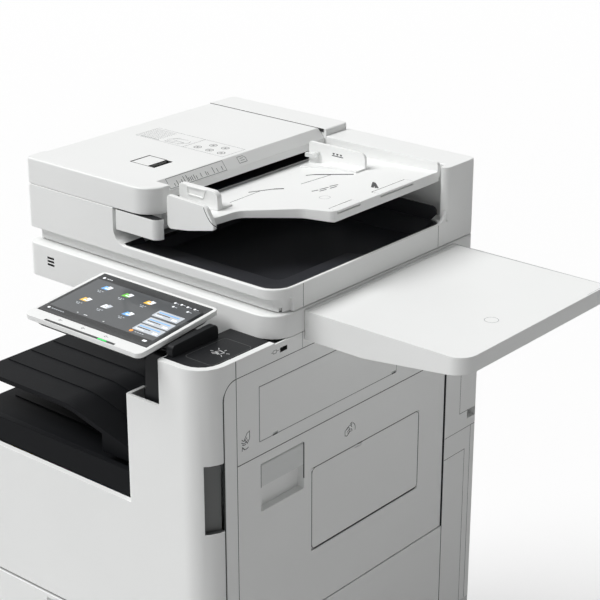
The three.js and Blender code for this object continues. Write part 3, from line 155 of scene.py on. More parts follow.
def moulded(name, colour, roughness, grain_mm, depth_mm, ior=1.54, drift=0.03, sheen=0.5):
    """A moulded plastic: a fine grain breaks up its highlights, and its tone drifts slowly."""
    material, tree = new_material(name)
    place = own_place(tree)
    grain = noise(tree, place, 1 / (grain_mm * MM), Detail=3.0, Roughness=0.6)
    slow = noise(tree, place, 5.0, Detail=2.0)
    tone = toned(tree, slow, colour, 1 - drift, 1 + drift)
    gloss = roughened(tree, grain, roughness - 0.05, roughness + 0.05)
    shader = relief_shader(tree, tone, gloss, grain, 0.5, depth_mm * MM)
    finish_tree(tree, shader, IOR=ior, **{"Specular IOR Level": sheen})
    return material


def rolled_steel(name, colour, roughness, spangle_mm):
    """Zinc-plated sheet: crystals of slightly different grey, with fine rolling lines."""
    material, tree = new_material(name)
    place = own_place(tree)
    inputs = {"Vector": place, "Scale": 1 / (spangle_mm * MM)}
    crystals = node(tree, "ShaderNodeTexVoronoi", inputs).outputs["Color"]
    inputs = {"Vector": place, "Scale": (900.0, 40.0, 40.0)}
    stretched = node(tree, "ShaderNodeMapping", inputs).outputs[0]
    rolling = noise(tree, stretched, 1.0)
    tone = toned(tree, crystals, colour, 0.86, 1.1)
    gloss = roughened(tree, rolling, roughness - 0.08, roughness + 0.12)
    finish_tree(tree, relief_shader(tree, tone, gloss, rolling, 0.2, 0.0001), Metallic=1.0)
    return material


def printed(name, colour, roughness=0.5, glow=0.0):
    """An ink film or a lit patch, slightly mottled by a fine dot screen."""
    material, tree = new_material(name)
    dots = noise(tree, own_place(tree), 900.0, Detail=1.0)
    inputs = {"Base Color": toned(tree, dots, colour, 0.94, 1.06)}
    if glow:
        inputs["Emission Color"] = inputs["Base Color"]
    shader = node(tree, "ShaderNodeBsdfPrincipled", inputs)
    finish_tree(tree, shader, Roughness=roughness, **{"Emission Strength": glow})
    return material


def sheet_glass(name, colour):
    """Float glass: clear, with faint smears that blur its reflections."""
    material, tree = new_material(name)
    smear = noise(tree, own_place(tree), 14.0, Detail=4.0)
    gloss = roughened(tree, smear, 0.01, 0.05)
    shader = node(tree, "ShaderNodeBsdfPrincipled", {"Roughness": gloss})
    settings = {"Base Color": linear(colour), "Transmission Weight": 1.0}
    finish_tree(tree, shader, IOR=1.52, **settings)
    return material


# Each finish gives its colour, roughness, grain size and grain depth in millimetres.
# Spark-eroded ABS has a grain of about 0.3 mm; it is drawn at 2 mm so that it shows.
WHITE = moulded("white moulded ABS", "F1F2F1", 0.48, 2.0, 0.05)
PALE = moulded("pale grey moulded ABS", "DCDEDD", 0.5, 2.0, 0.05)
GLOSS_WHITE = moulded("white gloss ABS", "F4F5F4", 0.3, 6.0, 0.02)
GREY = moulded("mid grey moulded ABS", "5A5C5B", 0.5, 2.0, 0.06)
# The blacks have a low sheen, so that the white surroundings don't grey them; the
# output trays' coarser grain spreads their highlights.
BLACK = moulded("black moulded ABS", "1C1D1F", 0.42, 2.0, 0.1, drift=0.08, sheen=0.14)
BLACK_GRAIN = moulded("coarse-grained black ABS", "151618", 0.5, 3.0, 0.25, drift=0.12, sheen=0.05)
LINER_BLACK = moulded("fine-grained black ABS", "2E2F33", 0.34, 2.0, 0.02, drift=0.1)
BLACK_GLOSS = moulded("black gloss polycarbonate", "131416", 0.16, 9.0, 0.01, ior=1.58)
STEEL = rolled_steel("zinc-plated sheet steel", "B4B8BA", 0.34, 7.0)
BRIGHT = rolled_steel("ground steel shaft", "C6C8CA", 0.22, 3.0)
POWDER = moulded("powder-coated steel", "D6D8D7", 0.42, 3.0, 0.12, ior=1.5)
RUBBER = moulded("moulded black rubber", "242424", 0.78, 2.5, 0.2, ior=1.52)
ROLLER_BLUE = moulded("ground feed-roller rubber", "2C5C9C", 0.6, 1.5, 0.12, ior=1.52)
GLASS = sheet_glass("float glass", "E6F0EC")
SCREEN = moulded("touch-screen glass", "2B2D2F", 0.07, 60.0, 0.002, ior=1.52, drift=0.1)
TONER_TINTS = {"yellow": "E4BC1C", "magenta": "B12F78", "cyan": "2577B6", "black": "1B1B1D"}
TONERS = {
    f"toner_{tint}": moulded(f"{tint} polypropylene", colour, 0.4, 3.0, 0.05, ior=1.49)
    for tint, colour in TONER_TINTS.items()
}
INK = printed("grey printing ink", "6E7071")
INK_PALE = printed("pale grey printing ink", "A4A6A7")
INK_DARK = printed("dark printing ink", "2A2B2C")
INK_WHITE = printed("white printing ink", "E8E9E9")
# SHADE is painted shade: a near-black given to slots, holes and the walls of recesses in place of the
# shade inside them. The joint lines in the output recess use it too.
SHADE = printed("unlit recess", "141414", 0.9)
SHADOW = printed("shadow gap", "2C2D2D", 0.9)

SLOT_FINISH = {
    "white": WHITE,
    "grey": PALE,
    "grey_metal": POWDER,
    "steel": STEEL,
    "black": BLACK,
    "dark_grey": GREY,
    "screen": SCREEN,
    "platen": GLASS,
    "roller": ROLLER_BLUE,
    "wheel_rubber": RUBBER,
    **TONERS,
}
SLOT_OF = {part["node"]: part["material_slot"] for part in frame["record"]["subparts"]}

for name, shown in frame["nodes"].items():
    shown.data.materials.clear()
    shown.data.materials.append(SLOT_FINISH[SLOT_OF[name]])

# ---- Building pieces ----------------------------------------------------
SHARPEST_MITRE = 0.35  # a ribbon's corner is widened no further than by 1 / this
COVER_STEEP, DRAWN_STEEP = 35, 40  # edges that turn by more degrees are rounded
WELD = 2e-5  # metres between vertices that are taken as one
FLAT = 0.5  # degrees between faces that are taken as one
FOLDED_AREA = 2e-6  # square metres that a bevel may double up on a face
CROWDED, SPOILT = 2.4, 3  # bevel widths within which edges disturb each other
OPPOSED = -0.3  # two edges face each other when their inward directions agree less
ATTEMPTS = 6  # bevels tried, each without the edges that spoilt the one before


def face_plane(origin, across, up):
    """Maps (across, up, outward) millimetres on a face to the frame's metres."""
    a, b = Vector(across).normalized(), Vector(up).normalized()
    out = a.cross(b)
    turn = Matrix((a, b, out)).transposed().to_4x4()
    return Matrix.Translation(machine_mm(*origin)) @ turn @ Matrix.Scale(MM, 4)


RIGHT = face_plane((WIDTH, 0, 0), (0, 1, 0), (0, 0, 1))
FRONT = face_plane((0, 0, 0), (1, 0, 0), (0, 0, 1))
LEFT = face_plane((0, 0, 0), (0, -1, 0), (0, 0, 1))
REAR = face_plane((0, DEPTH, 0), (-1, 0, 0), (0, 0, 1))
TOP = face_plane((0, 0, 0), (1, 0, 0), (0, 1, 0))


def prism(bm, points, low, high, plane=TOP, index=0):
    """A closed prism over a flat outline, between two heights off the plane.

    index picks its finish from those of the piece."""
    area = sum(a[0] * b[1] - b[0] * a[1] for a, b in zip(points, points[1:] + points[:1]))
    if area < 0:
        points = points[::-1]
    lower = [bm.verts.new(plane @ Vector((x, y, low))) for x, y in points]
    upper = [bm.verts.new(plane @ Vector((x, y, high))) for x, y in points]
    faces = [bm.faces.new(upper), bm.faces.new(lower[::-1])]
    for i in range(len(points)):
        j = (i + 1) % len(points)
        faces.append(bm.faces.new((lower[i], lower[j], upper[j], upper[i])))
    for face in faces:
        face.material_index = index


def circle(cx, cy, radius, sides=24, start=0.0, sweep=360.0):
    """Points on a circle, or on the part of it that sweep degrees cover."""
    turns = [math.radians(start + sweep * k / sides) for k in range(sides + (sweep < 360))]
    return [(cx + radius * math.cos(turn), cy + radius * math.sin(turn)) for turn in turns]


def rectangle(x0, y0, x1, y1, radius=0.0):
    """A rectangle's outline, with rounded corners."""
    if radius <= 0:
        return [(x0, y0), (x1, y0), (x1, y1), (x0, y1)]
    centres = (
        (x1 - radius, y0 + radius, -90),
        (x1 - radius, y1 - radius, 0),
        (x0 + radius, y1 - radius, 90),
        (x0 + radius, y0 + radius, 180),
    )
    return [point for cx, cy, start in centres for point in circle(cx, cy, radius, 4, start, 90)]


def join_rings(bm, rings, closed=False):
    """Skins rings of vertices in their order; an open skin gets a face at each end."""
    sides = len(rings[0])
    for here, there in zip(rings, rings[1:] + rings[:1] if closed else rings[1:]):
        for k in range(sides):
            m = (k + 1) % sides
            bm.faces.new((here[k], here[m], there[m], there[k]))
    if not closed:
        bm.faces.new(rings[0][::-1])
        bm.faces.new(rings[-1])


def ribbon(bm, points, width, low, high, plane=TOP):
    """A line of one width drawn along a path; the path may end where it starts."""
    closed = points[0] == points[-1]
    if closed:
        points = points[:-1]
    count = len(points)
    path = [Vector(p) for p in points]
    sides = []
    for i, here in enumerate(path):
        before = path[i - 1] if closed or i else None
        after = path[(i + 1) % count] if closed or i < count - 1 else None
        ahead = (after - here).normalized() if after is not None else None
        behind = (here - before).normalized() if before is not None else None
        along = ahead if behind is None else behind if ahead is None else (ahead + behind)
        along = along.normalized() if along.length > 1e-6 else ahead
        across = Vector((-along.y, along.x))
        lead = ahead or behind
        stretch = 1 / max(SHARPEST_MITRE, abs(across.dot(Vector((-lead.y, lead.x)))))
        offset = across * (width / 2 * stretch)
        sides.append((here - offset, here + offset))
    rings = []
    for a, b in sides:
        corners = ((a, low), (b, low), (b, high), (a, high))
        rings.append([bm.verts.new(plane @ Vector((*p, height))) for p, height in corners])
    join_rings(bm, rings, closed)


def spin(bm, profile, plane, sides):
    """A turned shape: (radius, height) pairs round the plane's outward axis."""
    rings = [
        [bm.verts.new(plane @ Vector((*point, height))) for point in circle(0, 0, radius, sides)]
        for radius, height in profile
    ]
    join_rings(bm, rings)


def settle(name, mesh, body, finishes, stands_for=()):
    """Makes a finished mesh a piece that rides on a body."""
    piece = bpy.data.objects.new(name, mesh)
    bpy.context.scene.collection.objects.link(piece)
    for finish in finishes:
        mesh.materials.append(finish)
    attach(piece, body)
    if stands_for:
        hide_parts(*stands_for)


def smooth_shading(mesh, crease=40):
    """Gives each corner the area-weighted mean of the faces that lean like its own."""
    faces = mesh.polygons
    faces.foreach_set("use_smooth", [True] * len(faces))
    around = [[] for _ in mesh.vertices]
    for face in faces:
        for vertex in face.vertices:
            around[vertex].append(face)
    limit = math.cos(math.radians(crease))
    normals = []
    for face in faces:
        for vertex in face.vertices:
            total = Vector()
            for other in around[vertex]:
                if other.normal.dot(face.normal) > limit:
                    total += other.normal * other.area
            normals.append(total.normalized())
    mesh.normals_split_custom_set(normals)


def written(bm, name, crease=40):
    """The mesh of bm, smooth where it curves."""
    mesh = bpy.data.meshes.new(name)
    bm.to_mesh(mesh)
    bm.free()
    smooth_shading(mesh, crease)
    return mesh


def drawn(draw, name, bevel):
    """The mesh that draw(bm) makes, with rounded edges and its faces turned outward."""
    bm = bmesh.new()
    draw(bm)
    if bevel:
        bm = round_edges(bm, bevel, DRAWN_STEEP, 2)
    bmesh.ops.recalc_face_normals(bm, faces=bm.faces)
    return written(bm, name)


def make(name, body, finishes, draw, bevel=0.0):
    """Draws a piece with draw(bm), rounds its edges and settles it."""
    settle(name, drawn(draw, name, bevel), body, finishes)


def distance_to_edge(point, edge):
    a, b = edge.verts[0].co, edge.verts[1].co
    along = b - a
    share = max(0.0, min(1.0, (point - a).dot(along) / along.length_squared))
    return (point - a - along * share).length


def crowded_edges(edges, room):
    """Edges that face another chosen edge across a strip narrower than room."""
    crowded = set()
    for face in {face for edge in edges for face in edge.link_faces}:
        sides = []
        for loop in face.loops:
            if loop.edge in edges:
                along = (loop.link_loop_next.vert.co - loop.vert.co).normalized()
                sides.append((loop.edge, face.normal.cross(along)))
        for i, (one, one_in) in enumerate(sides):
            for other, other_in in sides[i + 1 :]:
                if one_in.dot(other_in) > OPPOSED:
                    continue
                points = [v.co for v in other.verts]
                ends = [v.co for v in one.verts]
                gap = min(
                    [distance_to_edge(p, one) for p in points]
                    + [distance_to_edge(p, other) for p in ends]
                )
                if gap < room:
                    crowded.update((one, other))
    return crowded


def folds(bm):
    """Points at which the outline of a face crosses or doubles back on itself."""
    total, turned = {}, {}
    for loops in bm.calc_loop_triangles():
        a, b, c = (loop.vert.co for loop in loops)
        normal = (b - a).cross(c - a)
        face = loops[0].face
        total[face] = total.get(face, 0) + normal.length / 2
        if normal.dot(face.normal) < 0:
            turned.setdefault(face, []).extend((a, b, c))
    points = []
    for face, area in total.items():
        if area - face.calc_area() < FOLDED_AREA or face not in turned:
            continue
        flat = face.normal.to_track_quat("Z", "Y").inverted()
        outline = [loop.vert.co for loop in face.loops]
        sides = [
            (p, q, (flat @ p).to_2d(), (flat @ q).to_2d())
            for p, q in zip(outline, outline[1:] + outline[:1])
        ]
        found = []
        for k, (p, q, a, b) in enumerate(sides):
            for _, _, c, d in sides[k + 2 : len(sides) - (k == 0)]:
                hit = intersect_line_line_2d(a, b, c, d)
                if hit is not None:
                    found.append(p.lerp(q, (hit - a).length / max((b - a).length, 1e-9)))
        points += found or turned[face]
    return points


def round_edges(bm, width_mm, steep, segments, chosen=None):
    """A copy of bm with the convex edges that turn by more than steep degrees bevelled.

    Edges beside which the bevel would fold a face are left sharp."""
    origin = machine_mm(0, 0, 0)
    edges = set()
    bm.edges.index_update()
    bm.edges.ensure_lookup_table()
    for edge in bm.edges:
        if not edge.is_manifold or edge.calc_length() < 1e-5:
            continue
        if edge.calc_face_angle_signed() < math.radians(steep):
            continue
        middle = ((edge.verts[0].co + edge.verts[1].co) / 2 - origin) / MM
        if chosen is None or chosen(*middle):
            edges.add(edge)
    edges -= crowded_edges(edges, CROWDED * width_mm * MM)
    for _ in range(ATTEMPTS):
        trial = bm.copy()
        trial.edges.ensure_lookup_table()
        bmesh.ops.bevel(
            trial,
            geom=[trial.edges[edge.index] for edge in edges],
            offset=width_mm * MM,
            segments=segments,
            profile=0.5,
            affect="EDGES",
            clamp_overlap=False,
            loop_slide=True,
            material=-1,
        )
        points = folds(trial)
        near = SPOILT * width_mm * MM
        spoilt = {e for e in edges if any(distance_to_edge(p, e) < near for p in points)}
        if not spoilt:
            break
        edges -= spoilt
        trial.free()
        trial = bm.copy()
    bm.free()
    return trial


def soften(node_name, width, finish=None, large=(), where=None, seam=(0, 0, 0), inner=(), crease=40):
    """Stands for a CAD cover with the same shape and rounded edges.

    large lists (radius, test) pairs for edges that are rounder than width, and where
    picks the others. Each side stands back by seam, so that joints show as dark gaps.
    inner lists (finish, test) pairs for faces that look different."""
    bm = bmesh.new()
    bm.from_mesh(frame["nodes"][node_name].data)
    low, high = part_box(node_name)
    middle, size = (low + high) / 2, high - low
    for vert in bm.verts:
        for axis in range(3):
            share = 1 - 2 * seam[axis] * MM / size[axis]
            vert.co[axis] = middle[axis] + (vert.co[axis] - middle[axis]) * share
    bmesh.ops.remove_doubles(bm, verts=bm.verts, dist=WELD)
    bmesh.ops.dissolve_limit(
        bm,
        angle_limit=math.radians(FLAT),
        use_dissolve_boundaries=False,
        verts=bm.verts,
        edges=bm.edges,
    )
    for radius, chosen in large:
        bm = round_edges(bm, radius, COVER_STEEP, 4, chosen)
    bm = round_edges(bm, width, COVER_STEEP, 2, where)
    origin = machine_mm(0, 0, 0)
    for face in bm.faces:
        x, y, z = (face.calc_center_median() - origin) / MM
        chosen = [k for k, (_, test) in enumerate(inner, 1) if test(x, y, z, face.normal)]
        face.material_index = chosen[0] if chosen else 0
    name, slot = node_name + "_cover", SLOT_OF[node_name]
    finishes = [finish or SLOT_FINISH[slot]] + [look for look, _ in inner]
    settle(name, written(bm, name, crease), BODY_OF[node_name], finishes, [node_name])


# ---- Rows of repeated shapes --------------------------------------------


def row_tree():
    """Geometry Nodes: a unit repeated along a line, and that line over a field."""
    tree = bpy.data.node_groups.new("row of units", "GeometryNodeTree")
    for name, kind in (
        ("Unit", "NodeSocketObject"),
        ("Count", "NodeSocketInt"),
        ("Step", "NodeSocketVector"),
        ("Rows", "NodeSocketInt"),
        ("Row Step", "NodeSocketVector"),
        ("Finish", "NodeSocketMaterial"),
    ):
        tree.interface.new_socket(name, in_out="INPUT", socket_type=kind)
    tree.interface.new_socket("Geometry", in_out="OUTPUT", socket_type="NodeSocketGeometry")
    given = node(tree, "NodeGroupInput").outputs
    shape = node(tree, "GeometryNodeObjectInfo", {"Object": given["Unit"]}).outputs["Geometry"]
    for count, step in (("Count", "Step"), ("Rows", "Row Step")):
        line = node(tree, "GeometryNodeMeshLine", {"Count": given[count], "Offset": given[step]})
        inputs = {"Points": line.outputs["Mesh"], "Instance": shape}
        shape = node(tree, "GeometryNodeInstanceOnPoints", inputs).outputs["Instances"]
    real = node(tree, "GeometryNodeRealizeInstances", {"Geometry": shape}).outputs["Geometry"]
    dressed = node(tree, "GeometryNodeSetMaterial", {"Geometry": real, "Material": given["Finish"]})
    node(tree, "NodeGroupOutput", {"Geometry": dressed.outputs["Geometry"]})
    return tree


ROW_TREE = row_tree()


def repeat(name, body, slot, finish, draw, count, step, rows=1, row_step=(0, 0, 0), bevel=0.0):
    """Repeats a small shape along a line, or over a field, with the row tree."""
    unit = bpy.data.objects.new("unit", drawn(draw, "unit", bevel))
    host = bpy.data.objects.new("host", bpy.data.meshes.new("host"))
    for helper in (unit, host):
        bpy.context.scene.collection.objects.link(helper)
    modifier = host.modifiers.new("row", "NODES")
    modifier.node_group = ROW_TREE
    given = {
        "Unit": unit,
        "Count": count,
        "Step": [v * MM for v in step],
        "Rows": rows,
        "Row Step": [v * MM for v in row_step],
        "Finish": finish,
    }
    for item in ROW_TREE.interface.items_tree:
        if item.in_out == "INPUT":
            modifier[item.identifier] = given[item.name]
    graph = bpy.context.evaluated_depsgraph_get()
    mesh = bpy.data.meshes.new_from_object(host.evaluated_get(graph))
    mesh.name = name
    for helper in (unit, host):
        bpy.data.objects.remove(helper)
    mesh.materials.clear()
    smooth_shading(mesh)
    settle(name, mesh, body, [finish])


# ---- Covers with rounded edges ------------------------------------------
GAP = 0.45  # each side of a joint between two covers
latch_low, latch_high = node_mm("cover_latch")


def feeder_top_edge(x, y, z):
    """The top edges of the feeder cover, without those of the latch's window."""
    beside_latch = latch_low[0] - 5 < x < latch_high[0] + 25
    return z > FEEDER_TOP - 0.5 and not (beside_latch and latch_low[1] - 5 < y < latch_high[1] + 5)


def feeder_cover_ceiling(x, y, z, normal):
    """The underside of the feeder cover, seen when it stands open."""
    return z > FEEDER_SEAM + 2 and normal.z < -0.4 and 8 < x < 296


def feeder_mouth(x, y, z, normal):
    """The wall inside the feeder cover that looks out through the paper's mouth."""
    return z < FEEDER_TOP - 8 and x < 262 and 180 < y < 620 and normal.x > 0.5


def latch_recess(x, y, z, normal):
    """The walls of the window that the latch fills, which get a painted shade."""
    return 150 < x < 216 and 261 < y < 309 and FEEDER_TOP - 25 < z < FEEDER_TOP - 1.5


def lid_rim(x, y, z):
    """The outer edge of the output recess's rim, at the front and the right."""
    return abs(z - RIM_TOP) < 0.6 and (x > WIDTH - 50 or y < LID_FRONT + 5)


def lid_corner_step(x, y, z):
    """The shallow step round the lid's front right corner, too low for a bevel."""
    return x > WIDTH - 60 and y < LID_FRONT + 60 and LID_BOTTOM + 1 < z < LID_BOTTOM + 30


def scanner_rim(x, y, z):
    """The top edge of the scanner, where nothing stands on it."""
    beside = x < 1 or x > WIDTH - 42 or y < SCANNER_FRONT + 42
    return beside and abs(z - SCANNER_TOP) < 0.5


def scanner_finger_slot(x, y, z, normal):
    """The walls of the narrow slot in the scanner's front, which get a painted shade."""
    return 44 < x < 70 and SCANNER_FRONT + 0.2 < y < SCANNER_FRONT + 8 and normal.y > -0.9


def front_cover_grip(x, y, z, normal):
    """The flat walls of the finger grip, without its rounded edges."""
    inside = 536 < x < 564 and 13 < y < 45.5 and 712 < z < 833
    return inside and max(map(abs, normal)) > 0.98


soften(
    "feeder_cover",
    1.0,
    large=[(3.0, feeder_top_edge)],
    seam=(0, GAP, 0),
    inner=[(BLACK, feeder_cover_ceiling), (BLACK, feeder_mouth), (SHADE, latch_recess)],
)
soften(
    "feeder_rear_cover",
    1.0,
    large=[(4.0, lambda x, y, z: z > FEEDER_TOP - 0.5 and y > 640)],
    seam=(0, GAP, 0),
)
soften(
    "lid_shell",
    1.2,
    large=[(3.5, lambda x, y, z: z > RIM_TOP + 80 and x > 300), (2.4, lid_rim)],
    where=lambda x, y, z: not lid_corner_step(x, y, z),
    crease=24,
)
soften("scanner_housing", 1.2, large=[(2.5, scanner_rim)], inner=[(SHADE, scanner_finger_slot)])
soften("feeder_body", 1.2, inner=[(BLACK, lambda x, y, z, n: n.z > 0.5 and z > FEEDER_SEAM - 8)])
soften("output_liner", 2.0, LINER_BLACK)
soften("front_cover", 1.1, inner=[(GREY, front_cover_grip)])
soften("document_tray", 1.4)
for guide in ("guide_front", "guide_rear"):
    soften(guide, 1.5, GLOSS_WHITE)
for hung in ("right_front_cover", "right_door", "bypass_tray", "door_handle", "side_exit_cover"):
    soften(hung, 0.8, seam=(0, GAP, GAP))
# The inside of the socket on the right side gets a painted shade.
soften(
    "right_upper_cover",
    0.8,
    inner=[(SHADE, lambda x, y, z, n: 172 < y < 192 and 968 < z < 984 and x < WIDTH - 0.3)],
)


def grip_liner(bm):
    prism(bm, [(541, 16), (557, 43.2), (553, 43.2), (538, 18)], 715, 830.5)


make("front_cover_grip_liner", "front_door", [GREY], grip_liner)
for plain, width in {
    "left_cover": 1.0,
    "rear_cover": 1.0,
    "right_rear_cover": 0.9,
    "pedestal_right_cover": 1.0,
    "cover_latch": 0.6,
    "stop_flap_front": 0.6,
    "stop_flap_rear": 0.6,
    "panel_arm": 2.0,
    "panel_back": 1.5,
    "card_reader_plate": 1.0,
    "pillar_core": 1.0,
    "utility_tray": 1.0,
    "pedestal_frame": 1.0,
    "platen_pad": 1.5,
    "scan_carriage": 1.0,
}.items():
    soften(plain, width)
soften("panel_bezel", 1.6, GLOSS_WHITE)
for tray in ("upper_output_tray", "lower_output_tray"):
    soften(tray, 1.4, BLACK_GRAIN)
for number in range(1, 5):
    soften(f"cassette_{number}", 1.3)

# ---- Joints between covers ----------------------------------------------
SIDE_SPLIT = node_mm("right_upper_cover")[0][2] - 0.4
STRIP_TOP = node_mm("right_front_cover")[1][2] + 0.3
DOOR_FRONT = node_mm("right_door")[0][1] - 0.15
DOOR_REAR = node_mm("right_door")[1][1] + 0.3
PEDESTAL_TOP = node_mm("pedestal_right_cover")[1][2] + 0.5
COVER_TURN = 28.7  # the corner of the front cover's side


def lines(name, body, finish, plane, paths, width, low=-0.3, high=0.06):
    """Strips of one width along paths on a face, from low to high millimetres off it."""

    def draw(bm):
        for path in paths:
            ribbon(bm, path, width, low, high, plane)

    make(name, body, [finish], draw)


def closed_path(outline):
    return outline + outline[:1]


def moved(paths, dx, dy):
    """Paths drawn round (0, 0), set down at another place."""
    return [[(dx + x, dy + y) for x, y in path] for path in paths]


def around(low, high, radius=0.0):
    """The outline of a cover on the right side, with the gap beside it."""
    return closed_path(rectangle(low[1] - 0.2, low[2] - 0.2, high[1] + 0.2, high[2] + 0.2, radius))


corner_sweep = circle(DOOR_FRONT, STRIP_TOP - COVER_TURN, COVER_TURN, 10, 90, 90)
front_cover_edge = corner_sweep + [(DOOR_FRONT - COVER_TURN, PEDESTAL_TOP + 1)]
body_gaps = [
    [(DOOR_FRONT, PILLAR_TOP - 1), (DOOR_FRONT, PEDESTAL_TOP + 1)],
    front_cover_edge,
    [(DOOR_FRONT + 1, STRIP_TOP), (DOOR_REAR - 1, STRIP_TOP)],
    [(DOOR_FRONT + 1, SIDE_SPLIT), (DOOR_REAR - 1, SIDE_SPLIT)],
    [(DOOR_REAR, SCANNER_BOTTOM - 8), (DOOR_REAR, PEDESTAL_TOP + 1)],
]
lines("body_shadow_gaps", "machine", SHADOW, RIGHT, body_gaps, 1.2, -2.0, 0.03)
exit_low, exit_high = node_mm("side_exit_cover")
lines("side_exit_gap", "machine", INK, RIGHT, [around(exit_low, exit_high)], 0.8, -1.5, 0.03)
feed_low, feed_high = node_mm("bypass_tray")
lines("hand_feed_gap", "side_door", SHADOW, RIGHT, [around(feed_low, feed_high, 10)], 1.2, -2.0, 0.03)
grip_low, grip_high = node_mm("door_handle")
grip_gap = [
    [(grip_low[1] - 0.4, grip_low[2]), (grip_low[1] - 0.4, grip_high[2])],
    [(grip_high[1] + 1.2, grip_low[2] - 24), (grip_high[1] + 1.2, grip_high[2])],
]
lines("grip_gap", "side_door", SHADOW, RIGHT, grip_gap, 1.1, -1.5, 0.03)
column_joints = [
    [(668, SCANNER_BOTTOM - 8), (668, 687), (696, 687)],
    [(624, 653), (717, 653)],
    [(704, 652), (704, PEDESTAL_TOP + 1)],
    [(624, 610), (687, 610), (687, PEDESTAL_TOP + 1)],
]
lines("rear_column_lines", "machine", SHADOW, RIGHT, column_joints, 0.9, -0.4, 0.04)
upper_strip = [(227, STRIP_TOP + 1), (227, PILLAR_TOP - 1)]
lines("upper_strip_line", "machine", INK, RIGHT, [upper_strip], 0.8, -0.4, 0.04)
FEEDER_JOINT = node_mm("feeder_cover")[1][1] + 0.25
COVER_TOP = face_plane((0, 0, FEEDER_TOP), (1, 0, 0), (0, 1, 0))
feeder_joint = [(3, FEEDER_JOINT), (279, FEEDER_JOINT)]
lines("feeder_joint", "lid", SHADOW, COVER_TOP, [feeder_joint], 1.0, -6, -0.25)
latch_outline = rectangle(
    latch_low[0] - 0.2, latch_low[1] - 0.2, latch_high[0] + 0.3, latch_high[1] + 0.2
)
lines("latch_gap", "top_cover", SHADOW, COVER_TOP, [closed_path(latch_outline)], 0.9, -1.0, 0.03)
lid_joints = [[(y, LID_BOTTOM + 1), (y, RIM_TOP - 0.8)] for y in (229.0, 583.7)]
lines("lid_joints", "lid", SHADOW, RIGHT, lid_joints, 0.9, -0.5, 0.04)

# ---- Printed marks ------------------------------------------------------
SLOPE = face_plane((268, 0, FEEDER_TOP), (0, 1, 0), (-14, 0, 17))


def short_strokes(name, body, plane, strokes, finish, width=0.7):
    """Strokes as thin on their face as a printed film."""
    lines(name, body, finish, plane, strokes, width, -0.2, 0.07)


def dash(bm):
    """One word's worth of the label's text, which is only hinted at."""
    prism(bm, rectangle(54.0, 385.5, 56.9, 386.7), -0.2, 0.06, COVER_TOP)


repeat("label_text_rows", "top_cover", "black", INK, dash, 12, (4.1, 0, 0), 9, (0, 5.6, 0))
frames = [closed_path(rectangle(x0, 380.5, x1, 438)) for x0, x1 in ((51, 165), (165, 258))]
short_strokes("label_frames", "top_cover", COVER_TOP, frames, INK)
schematic = [
    closed_path([(116, 386), (142, 389), (150, 399), (124, 401)]),
    [(112, 396), (120, 409), (146, 415)],
    [(128, 386), (134, 399)],
    [(146, 386), (158, 403), (154, 412)],
    [(118, 405), (127, 417)],
    [(60, 384), (104, 384)],
]
short_strokes("label_schematic", "top_cover", COVER_TOP, schematic, INK, 0.9)
# Five rings on the label, each with the same three strokes in it.
RING_CENTRES = ((185.6, 396.4), (199.7, 421.2), (226.8, 422.1), (214, 395.9), (240.9, 396.2))
ring = [
    closed_path(circle(0, 0, 6.6, 28)),
    [(-3.6, -1.6), (1.2, 3.2)],
    [(-1.0, -3.4), (3.6, 1.6)],
    [(-2.2, 2.2), (2.4, -2.6)],
]
ring_strokes = [path for centre in RING_CENTRES for path in moved(ring, *centre)]
short_strokes("label_rings", "top_cover", COVER_TOP, ring_strokes, INK_DARK, 1.2)

# Each tick of the paper size scale: its place along the mouth and its length.
TICKS = [(245, 5), (252, 9), (258, 5), (263, 8), (269, 12), (276, 12), (279, 7), (283, 7), (287, 8)]
TICKS += [(292, 9), (297, 6), (308, 8), (320, 8), (324, 6), (338, 11), (347, 7), (359, 8)]
ticks = [[(y, -18), (y, length - 18)] for y, length in TICKS]
short_strokes("paper_size_ticks", "top_cover", SLOPE, ticks, INK_DARK, 1.1)
frame_and_page = [
    closed_path(rectangle(232, -20, 367, -1.5)),
    closed_path([(402, -16), (421, -16), (421, -9), (416, -4.5), (402, -4.5)]),
    [(407, -8), (415, -8)],
    [(407, -12), (417, -12)],
]
short_strokes("paper_size_frame", "top_cover", SLOPE, frame_and_page, INK, 0.9)


def tree_of(node_name):
    """A CAD node's faces, ready for ray casts."""
    bm = bmesh.new()
    bm.from_mesh(frame["nodes"][node_name].data)
    tree = BVHTree.FromBMesh(bm)
    bm.free()
    return tree


OVERHEAD = 2.0  # metres over the floor, higher than every piece


def lay_on(bm, tree):
    """Lifts flat ribbons onto the upper side of a CAD node, whatever its slope."""
    for vert in bm.verts:
        spot = tree.ray_cast(Vector((vert.co.x, vert.co.y, OVERHEAD)), Vector((0, 0, -1)))[0]
        if spot is not None:
            vert.co.z += spot.z


def on_top_of(node_name, name, body, finish, paths, width, high=0.07):
    """Lines that lie on the upper side of a CAD node."""
    tree = tree_of(node_name)

    def draw(bm):
        for path in paths:
            ribbon(bm, path, width, -0.3, high)
        lay_on(bm, tree)

    make(name, body, [finish], draw)


def on_document_tray(name, finish, paths, width, high=0.07):
    on_top_of("document_tray", name, "original_tray", finish, paths, width, high)


def subdivided(start, end, count):
    """A straight path in steps short enough to follow a curved face."""
    a, b = Vector(start), Vector(end)
    return [tuple(a.lerp(b, k / count)) for k in range(count + 1)]


